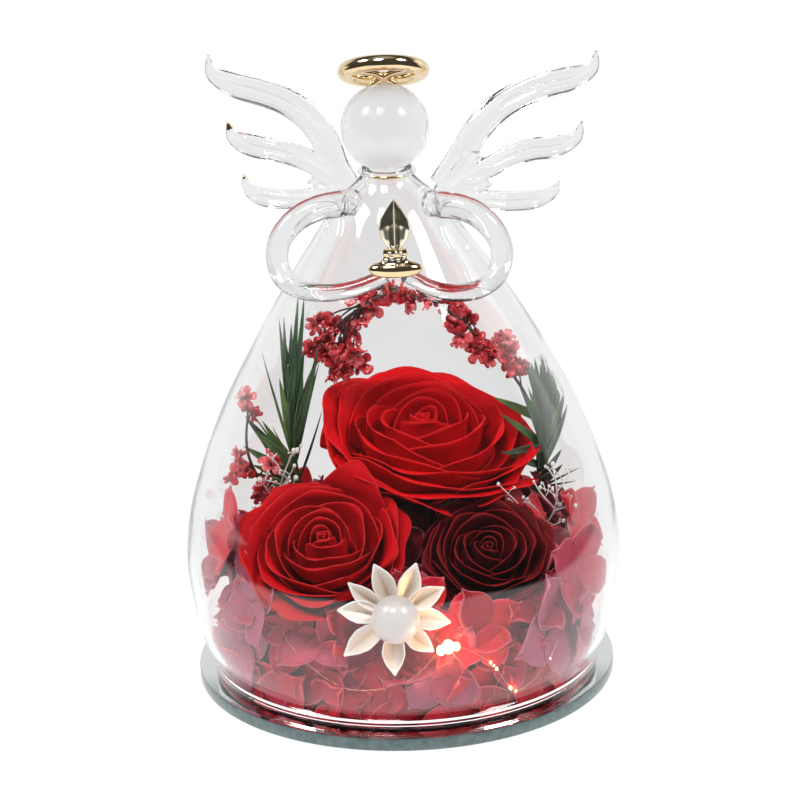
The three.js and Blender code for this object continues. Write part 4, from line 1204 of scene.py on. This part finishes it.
def makeLeafLook():
    material, nodes, shader = newMaterial("ruscus leaf", Specular_IOR_Level=0.45)
    lines = nodes.group(veins, Count=6.0, Waver=0.05)
    shade = nodes.steps(toneOf(nodes), [(0.0, (0.022, 0.066, 0.030)), (0.6, (0.058, 0.150, 0.048)),
                                        (1.0, (0.16, 0.25, 0.06))])
    look = nodes.group(mottle, Colour=shade, Dark=(0.008, 0.026, 0.014), Scale=140.0, Amount=0.6, Grain=0.3)
    pale = nodes.blend(0.5, look.outputs["Colour"], (0.22, 0.30, 0.12))
    rim = nodes.steps(lines.outputs["Veins"], [(0.25, 1.0), (0.6, 0.0)])
    applyLook(nodes, look, shader, 0.28, 0.25,
              nodes.blend(nodes.math("MULTIPLY", rim, 0.5), look.outputs["Colour"], pale))
    return material


bladeShape = {"wall": 0.22, "fold": 0.42, "grid": (4, 12), "glassGap": 0.6, "stem": (0.9, 0.45)}
leaves = {
    "leaf_spray_left": {
        "stem": [(-24, 6, 28.4), (-31, 5, 58), (-33, 4, 80), (-33, 3, 98)], "seed": 21,
        # share of the stem, tip from there, half width
        "blades": [
            (0.72, 3.6, 0, 42, 1.0), (0.76, 5.4, 1, 38, 1.0), (0.66, -2.5, -2, 39, 0.9),
            (0.70, -1.2, 1, 36, 0.9), (0.60, -1.5, 1, 36, 1.5), (0.64, 1.2, -3, 34, 1.6),
            (0.68, 4.5, 2, 26, 1.4), (0.62, 8.5, -2, 32, 1.5), (0.56, 3.5, -4, 30, 1.4),
            (0.58, -3.5, -3, 26, 1.4), (0.74, 1, 3, 30, 1.3), (0.80, 2.5, -2, 22, 1.2),
            (0.50, -9.5, 3, 38, 0.45), (0.54, 8.5, -3, 34, 0.45), (0.46, 8, -4, 24, 0.4),
            (0.50, -13, -3, 16, 1.5), (0.44, -14, -5, 9, 1.5), (0.42, -12, -2, 18, 1.2),
            (0.52, -10, 2, 15, 1.2), (0.40, -10, -6, 2, 1.4), (0.48, -14, 1, 22, 0.4),
            (0.46, -7, -6, 20, 0.4), (0.46, -16, -6, 14, 1.8), (0.48, -15, -5, 22, 1.6),
            (0.40, -14, -7, 10, 1.7)],
    },
    "leaf_spray_right": {
        "stem": [(28, 10, 28.4), (41, 13, 52), (45, 14, 70), (42, 13, 86)], "seed": 22,
        "blades": [
            (0.40, 9, -8, 18, 1.5), (0.48, 6, 6, 22, 1.5), (0.54, 6, -6, 24, 1.4), (0.60, -3, 6, 28, 1.4),
            (0.66, 3, -4, 26, 1.4), (0.72, -3, -2, 26, 1.5), (0.78, -6, 2, 20, 1.3),
            (0.84, -5, -3, 18, 1.2), (0.62, 0.5, 2, 32, 1.2), (0.70, 6, 2, 22, 1.2),
            (0.58, 8, -3, 20, 1.2), (0.76, 1, -3, 22, 1.4), (0.66, -14, -8, 14, 1.3),
            (0.56, -13, -10, 9, 1.2), (0.44, 12, -10, 6, 0.4), (0.42, 14, -6, 10, 0.4),
            (0.80, -1, 1, 18, 1.2), (0.88, -3, 0, 14, 1.1), (0.46, 8, -4, 8, 1.5),
            (0.64, -5, -4, 22, 1.2), (0.80, -16, -9, 11, 1.5), (0.66, -14, -19.6, 5.5, 1.4),
            (0.52, 3, -12, 6, 1.8), (0.70, 4, -5, 28, 1.7), (0.60, 7, -6, 25, 1.7),
            (0.76, -1, -5, 26, 1.6), (0.52, 2, -8, 30, 1.6), (0.66, -8, -6, 22, 1.5)],
    },
}


def blade(base, tip, halfWidth, bow, rng):
    base, tip = np.array(base, float), np.array(tip, float)
    reach = np.linalg.norm(tip - base)
    along = (tip - base) / reach
    out = np.cross(along, (0.25, -0.9, 0.2)) if abs(along[1]) < 0.9 else np.cross(along, (1, 0, 0))
    across = out / np.linalg.norm(out)
    facing = np.cross(across, along)
    twist = rng.uniform(-0.6, 0.6)

    def place(u, v):
        u = 2 * u - 1
        half = halfWidth * np.sin(np.pi * np.clip(0.06 + 0.94 * v, 0, 1) ** 0.62) ** 0.75
        turn = twist * v
        side = half * u
        fold = bladeShape["fold"] * np.abs(u) * half
        w = side * np.cos(turn) - fold * np.sin(turn)
        d = side * np.sin(turn) + fold * np.cos(turn)
        sag = bow * reach * (v - v * v)
        points = base + along * (v * reach)[:, None] + across * w[:, None] + facing * (d + sag)[:, None]
        return insideGlass(points, bladeShape["glassGap"])

    return gridPiece(*bladeShape["grid"], place)


def makeLeaves():
    leafLook = makeLeafLook()
    for name, spray in leaves.items():
        rng = random.Random(spray["seed"])
        path = pathThrough(spray["stem"], 100)
        parts = []
        for t, dx, dy, dz, half in spray["blades"]:
            base = path[int(t * (len(path) - 1))]
            tip = base + np.array((dx, dy, dz))
            parts.append(blade(base, tip, half, rng.choice((-1, 1)) * rng.uniform(0.05, 0.2), rng))
            thicken(parts[-1], bladeShape["wall"])
            setTone(parts[-1], rng.uniform(0, 0.75) if rng.random() < 0.8 else 1.0)
        stem = roundRod(spray["stem"], 40, 10, lambda t: mix(*bladeShape["stem"], t))
        setTone(stem, 0.35)
        piece = joinPieces(name, [*parts, stem])
        smoothShade(piece)
        finishPiece(piece, name + "_blades", leafLook, [name])


makeLeaves()
print("greenery made")


# Red blossom branches: thin stems with small trumpet flowers

blossomShape = {
    "wall": 0.2, "grid": (30, 5), "glassGap": 0.6, "stem": (0.7, 0.35), "stalk": (0.35, 0.22),
    "perPlace": 3, "spread": 2.6,
}
branches = {
    # stem; flowers at their own places, size; sprays: thin stalks that reach them
    "blossom_branch_left": {
        "stem": [(-26, 18, 28.4), (-33, 23, 58), (-29, 19, 84), (-20, 14, 102), (-10, 9, 114), (1, 6, 120)],
        "seed": 31, "size": 4.3, "reach": 26,
        "flowers": [
            (-24.5, 14, 107.4), (-21.6, 12, 102.8), (-19.4, 13, 107.3), (-17.5, 12, 99.8),
            (-14.3, 13, 104.5), (-13.9, 12, 97.5), (-17, 13, 95.4), (-20, 12, 93), (-10.5, 11, 108.9),
            (-8, 10, 113), (-12, 13, 94), (-21.5, 14, 97.7), (-17, 13, 91.5), (-13.3, 9, 117),
            (-9.6, 9, 118.5), (-5.4, 8, 117.7), (-1.2, 7, 118.5), (-26, 12, 99)]},
    "blossom_branch_right": {
        "stem": [(26, 20, 28.4), (45, 25, 58), (39, 21, 80), (28, 15, 97), (17, 10, 110), (7, 7, 118)],
        "seed": 32, "size": 3.7, "reach": -14,
        "flowers": [
            (2.4, 8, 116.8), (5.3, 9, 115.2), (8.7, 8, 116.6), (14.9, 11, 112.6), (18.5, 12, 110.3),
            (21.5, 13, 107.6), (19, 11, 102.6), (23.2, 13, 101.8), (26.8, 13, 100.4), (30.4, 13, 98.4),
            (27.9, 12, 95.3), (32.8, 13, 95.1), (34.5, 14, 91.9), (36.9, 14, 89.2), (33.5, 13, 101.4),
            (24.3, 12, 97.3), (17, 11, 106.5)]},
    "blossom_sprig_left": {
        "stem": [(-29, 2, 28.4), (-40, -1, 56), (-46, -2, 72), (-45, -1, 88)],
        "seed": 33, "size": 3.6, "reach": -14,
        "flowers": [
            (-45.6, -3, 89.8), (-43.5, -2, 85), (-49.8, -3, 70.3), (-50.2, -4, 66.2), (-46.5, -3, 67),
            (-38.6, -5, 69.6), (-40.4, -5, 62.6), (-43.2, -4, 59)]},
}


def blossom(centre, outward, size, rng):
    # five uneven round petals in a shallow cup, wet looking
    normal = np.array(outward) / np.linalg.norm(outward)
    side = np.cross(normal, (0.3, 0.5, 0.81))
    side = side / np.linalg.norm(side)
    up = np.cross(normal, side)
    spin = rng.uniform(0, 6.28)
    grow = [rng.uniform(0.7, 1.15) for _ in range(5)]
    waves = rng.uniform(0, 6.28)

    def place(u, v):
        turn = 2 * np.pi * u + spin
        lobe = np.array(grow)[np.minimum((u * 5).astype(int), 4)]
        lobes = 0.45 + 0.55 * np.abs(np.sin(2.5 * (turn - spin))) ** 0.45
        r = size * (0.08 + 0.95 * v ** 1.3 * lobes * mix(1, lobe, v))
        rise = size * (-0.7 + 0.9 * v ** 0.6 - 0.45 * v ** 3 * lobes + 0.14 * v * np.sin(3 * turn + waves))
        return (np.array(centre) + (r * np.cos(turn))[:, None] * side + (r * np.sin(turn))[:, None] * up
                + rise[:, None] * normal)

    return gridPiece(*blossomShape["grid"], lambda u, v: insideGlass(place(u, v), blossomShape["glassGap"]))


def makeBlossomLook():
    material, nodes, shader = newMaterial("dyed blossom", Specular_IOR_Level=0.55)
    shade = nodes.steps(nodes.math("MULTIPLY", toneOf(nodes), 0.5), [
        (0.0, (0.52, 0.008, 0.018)), (0.2, (0.78, 0.03, 0.045)), (0.5, (0.88, 0.16, 0.17)),
        (0.9, (0.03, 0.022, 0.015))])
    look = nodes.group(mottle, Colour=shade, Scale=260.0, Amount=0.7, Grain=0.3)
    nodes.link(nodes.blend(0.55, shade, (0.12, 0.0, 0.005)), look.inputs["Dark"])
    applyLook(nodes, look, shader, 0.22)
    return material


def makeBranches():
    look = makeBlossomLook()
    for name, branch in branches.items():
        rng = random.Random(branch["seed"])
        path = pathThrough(branch["stem"], 200)
        parts = []
        for spot in branch["flowers"]:
            spot = np.array(spot, float)
            near = int(np.argmin(np.linalg.norm(path - spot, axis=1)))
            joint = path[min(len(path) - 1, max(0, near + branch["reach"]))]
            middle = (joint + spot) / 2 + (0, 0.6, 0.8)
            stalk = roundRod([joint, middle, spot], 10, 6, lambda t: mix(*blossomShape["stalk"], t))
            setTone(stalk, 2.0)
            parts.append(stalk)
            for n in range(blossomShape["perPlace"]):
                out = np.array([rng.gauss(0, 0.8), -0.9 + rng.gauss(0, 0.6), rng.gauss(0.2, 0.7)])
                size = branch["size"] * (rng.uniform(0.85, 1.1) if n == 0 else rng.uniform(0.45, 0.75))
                shift = np.array([rng.uniform(-1, 1), rng.uniform(-0.6, 0.6), rng.uniform(-1, 1)])
                flower = blossom(spot + shift * blossomShape["spread"] * min(n, 1), out, size, rng)
                thicken(flower, blossomShape["wall"])
                setTone(flower, rng.random())
                parts.append(flower)
        stem = roundRod(branch["stem"], 50, 8, lambda t: mix(*blossomShape["stem"], t))
        setTone(stem, 2.0)
        piece = joinPieces(name, [*parts, stem])
        smoothShade(piece)
        finishPiece(piece, name + "_flowers", look, [name])


makeBranches()
print("blossoms made")


# White twigs: fine forked wires with tiny buds

twigShape = {"glassGap": 1.6, "stem": (0.34, 0.2), "fork": (0.24, 0.16), "end": (0.18, 0.13), "topBud": 0.7}
twigs = {
    "white_twig_left": {
        "stem": [(-32, -2, 28.4), (-37.5, -4, 52), (-36, -6, 64), (-32, -7, 74)], "seed": 41,
        "forks": [
            (0.6, -5, -4, 10), (0.7, 5, -3, 9), (0.8, -4, -2, 8), (0.5, -7, -6, 6), (0.66, 4, -6, 7),
            (0.75, -6, -4, 3), (0.55, 6, -4, 12), (0.9, 3, -2, 5)]},
    "white_twig_right": {
        "stem": [(31, -6, 28.4), (43, -13, 50), (46, -16, 60), (45, -14, 70)], "seed": 42,
        "forks": [
            (0.62, 5, -2, 8), (0.7, -6, 2, 8), (0.82, 4, 3, 6), (0.5, 6, -5, 5), (0.56, -7, -3, 10),
            (0.68, 6, -4, 3), (0.76, -5, -4, 6), (0.9, -3, -2, 5), (0.45, -12, -2, 18)]},
}


def bud(place, size):
    deselectAll()
    bpy.ops.mesh.primitive_ico_sphere_add(subdivisions=2, radius=size * mm)
    piece = bpy.context.object
    points = pointsOf(piece) * (1, 1, 1.25)
    movePoints(piece, points + np.array(place) * mm)
    return piece


def makeTwigs():
    look = plainMaterial("white twig", (0.86, 0.83, 0.80), (0.62, 0.52, 0.48), 0.35)
    for name, twig in twigs.items():
        rng = random.Random(twig["seed"])
        path = pathThrough(twig["stem"], 100)
        stem = roundRod(twig["stem"], 30, 8, lambda t: mix(*twigShape["stem"], t))
        parts = [stem, bud(path[-1], twigShape["topBud"])]
        for t, dx, dy, dz in twig["forks"]:
            base = path[int(t * (len(path) - 1))]
            tip = insideGlass((base + np.array((dx, dy, dz)))[None], twigShape["glassGap"])[0]
            middle = (base + tip) / 2 + np.array((rng.uniform(-1, 1), -0.6, 0.8))
            parts.append(roundRod([base, middle, tip], 12, 6, lambda t: mix(*twigShape["fork"], t)))
            parts.append(bud(tip, rng.uniform(0.35, 0.8)))
            for _ in range(2):
                start = mix(base, tip, rng.uniform(0.45, 0.8))
                end = start + np.array((rng.uniform(-3, 3), rng.uniform(-2, 1), rng.uniform(1, 4)))
                end = insideGlass(end[None], twigShape["glassGap"])[0]
                parts.append(roundRod([start, (start + end) / 2 + (0, 0, 0.4), end], 6, 6,
                                      lambda t: mix(*twigShape["end"], t)))
                parts.append(bud(end, rng.uniform(0.25, 0.5)))
        piece = joinPieces(name, parts)
        smoothShade(piece)
        finishPiece(piece, name + "_wires", look, [name])


makeTwigs()
print("twigs made")


# Brooch: folded enamel petals round a pearl

def placedOnBrooch(points):
    return points @ broochTurn().T + np.array(brooch["place"]) * mm


def makeBrooch():
    enamel, nodes, shader = newMaterial("cream enamel", Coat_Weight=0.5, Coat_Roughness=0.08, Roughness=0.3)
    lines = nodes.group(veins, Count=1.0, Waver=0.0)
    uv = nodes.add("ShaderNodeSeparateXYZ")
    nodes.link(nodes.add("ShaderNodeUVMap").outputs[0], uv.inputs[0])
    fold = nodes.math("MULTIPLY", nodes.math("ABSOLUTE", nodes.math("SUBTRACT", uv.outputs[0], 0.5)), 2.0)
    # darker beige along the petal's middle crease and toward its foot: painted shade in the fold
    foldShade = nodes.math("MULTIPLY", nodes.steps(fold, [(0.0, 1.0), (0.75, 0.0)]),
                       nodes.steps(uv.outputs[1], [(0.0, 1.0), (0.9, 0.15)]))
    body = nodes.blend(foldShade, (0.80, 0.72, 0.64), (0.58, 0.38, 0.22))
    white = nodes.steps(lines.outputs["Rim"], [(0.84, 0.0), (0.93, 1.0)])
    look = nodes.group(mottle, Colour=nodes.blend(white, body, (0.95, 0.93, 0.90)), Scale=220.0, Amount=0.25,
                       Grain=0.1)
    nodes.link(body, look.inputs["Dark"])
    applyLook(nodes, look, shader)

    parts = []
    for angle, reach, wide in brooch["petals"]:
        turn = math.radians(angle)

        def place(u, v):
            u = 2 * u - 1
            shape = np.interp(v, *brooch["shape"])
            half = wide * shape
            x = reach * mix(0.16, 1, v)
            rise = 5.0 * v ** 1.6 + 2.3 * np.abs(u) ** 1.2 * shape - 0.3
            y = half * u + 0.5 * np.sin(np.pi * v) * np.where(angle % 2, 1, -1)
            return np.column_stack([x * math.cos(turn) - y * math.sin(turn),
                                    x * math.sin(turn) + y * math.cos(turn), rise])

        parts.append(gridPiece(12, 18, place))
    flower = joinPieces("petals", parts)
    movePoints(flower, placedOnBrooch(pointsOf(flower)))
    thicken(flower, brooch["wall"])
    subdivide(flower, 1)
    deselectAll()
    bpy.ops.mesh.primitive_cylinder_add(vertices=48, radius=brooch["disc"] * mm,
                                        depth=brooch["backing"] * mm)
    disc = bpy.context.object
    movePoints(disc, placedOnBrooch(pointsOf(disc)))
    flower = joinPieces("petals", [flower, disc])
    smoothShade(flower, 50)
    finishPiece(flower, "brooch_petals", enamel, ["brooch_flower"])

    deselectAll()
    bpy.ops.mesh.primitive_uv_sphere_add(segments=64, ring_count=32, radius=brooch["pearl"] * mm)
    pearl = bpy.context.object
    lift = brooch["backing"] / 2 + brooch["gap"] + brooch["pearl"]
    movePoints(pearl, placedOnBrooch(pointsOf(pearl) + np.array((0, 0, lift)) * mm))
    smoothShade(pearl)
    material, nodes, shader = newMaterial("pearl", Coat_Weight=0.8, Coat_Roughness=0.05, Roughness=0.28,
                                          Sheen_Weight=0.3, Sheen_Tint=(1.0, 0.85, 0.85))
    look = nodes.group(mottle, Colour=(0.66, 0.62, 0.59), Dark=(0.60, 0.53, 0.50), Scale=90.0, Amount=0.5,
                       Grain=0.05)
    applyLook(nodes, look, shader)
    finishPiece(pearl, "pearl", material, ["brooch_pearl"])


makeBrooch()
print("brooch made")


# Light wire and its lamps

lights = {
    "wire": 0.14, "steps": 26, "parts": 20, "glow": 38.0,
    # radius of the lamp at each of these steps along the wire
    "lamps": {11.4: 1.25, 11.7: 1.75, 12.0: 1.1, 13.55: 0.4, 13.75: 0.3, 13.95: 0.4, 15.1: 0.5, 15.4: 0.35,
              17.2: 0.4, 19.0: 0.4},
    "route": [(-30, -12, 30.2), (-37, -35, 34), (-33, -46.5, 27), (-18, -54, 17), (0, -57, 20), (12, -57, 30.5),
              (24, -53.5, 24), (32, -47.5, 12), (43, -40, 21), (47, -20, 34), (29, -8, 44), (22, 2, 30.2)],
}


def makeLights():
    copper = plainMaterial("copper wire", (0.75, 0.38, 0.22), (0.5, 0.22, 0.12), 0.25, Metallic=1.0)
    wire = roundRod(lights["route"], 260, 8, lambda t: np.full_like(t, lights["wire"]))
    smoothShade(wire)
    finishPiece(wire, "light_wire_copper", copper, ["light_wire"])
    warm, nodes, shader = newMaterial("warm lamp", Emission_Strength=lights["glow"], Roughness=0.2)
    core = nodes.steps(nodes.noise(objectPlace(nodes), 500, 2),
                       [(0.3, (1.0, 0.42, 0.10)), (0.6, (1.0, 0.60, 0.24))])
    nodes.link(core, shader.inputs["Emission Color"])
    nodes.link(core, shader.inputs["Base Color"])
    path = pathThrough(lights["route"], lights["steps"] * lights["parts"] + 1)
    beads = [bud(path[round(step * lights["parts"])], size) for step, size in lights["lamps"].items()]
    piece = joinPieces("lamps", beads)
    smoothShade(piece)
    finishPiece(piece, "lamps", warm)


makeLights()
print("lights made")


# CAD pieces that stay as they are get their finish here

keptNodes = {
    # the foam block is coloured dark crimson and shows only in the gaps between the florets
    "foam_block": plainMaterial("dark crimson foam", (0.14, 0.004, 0.008), (0.05, 0.002, 0.004), 0.8),
    "top_rose_stem": plainMaterial("stem", (0.05, 0.06, 0.03), (0.02, 0.02, 0.012), 0.5),
}
keptNodes["left_rose_stem"] = keptNodes["dark_rose_stem"] = keptNodes["top_rose_stem"]
for node, look in keptNodes.items():
    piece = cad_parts[node]
    for slot in piece.material_slots:
        slot.material = look
print("kept pieces finished")
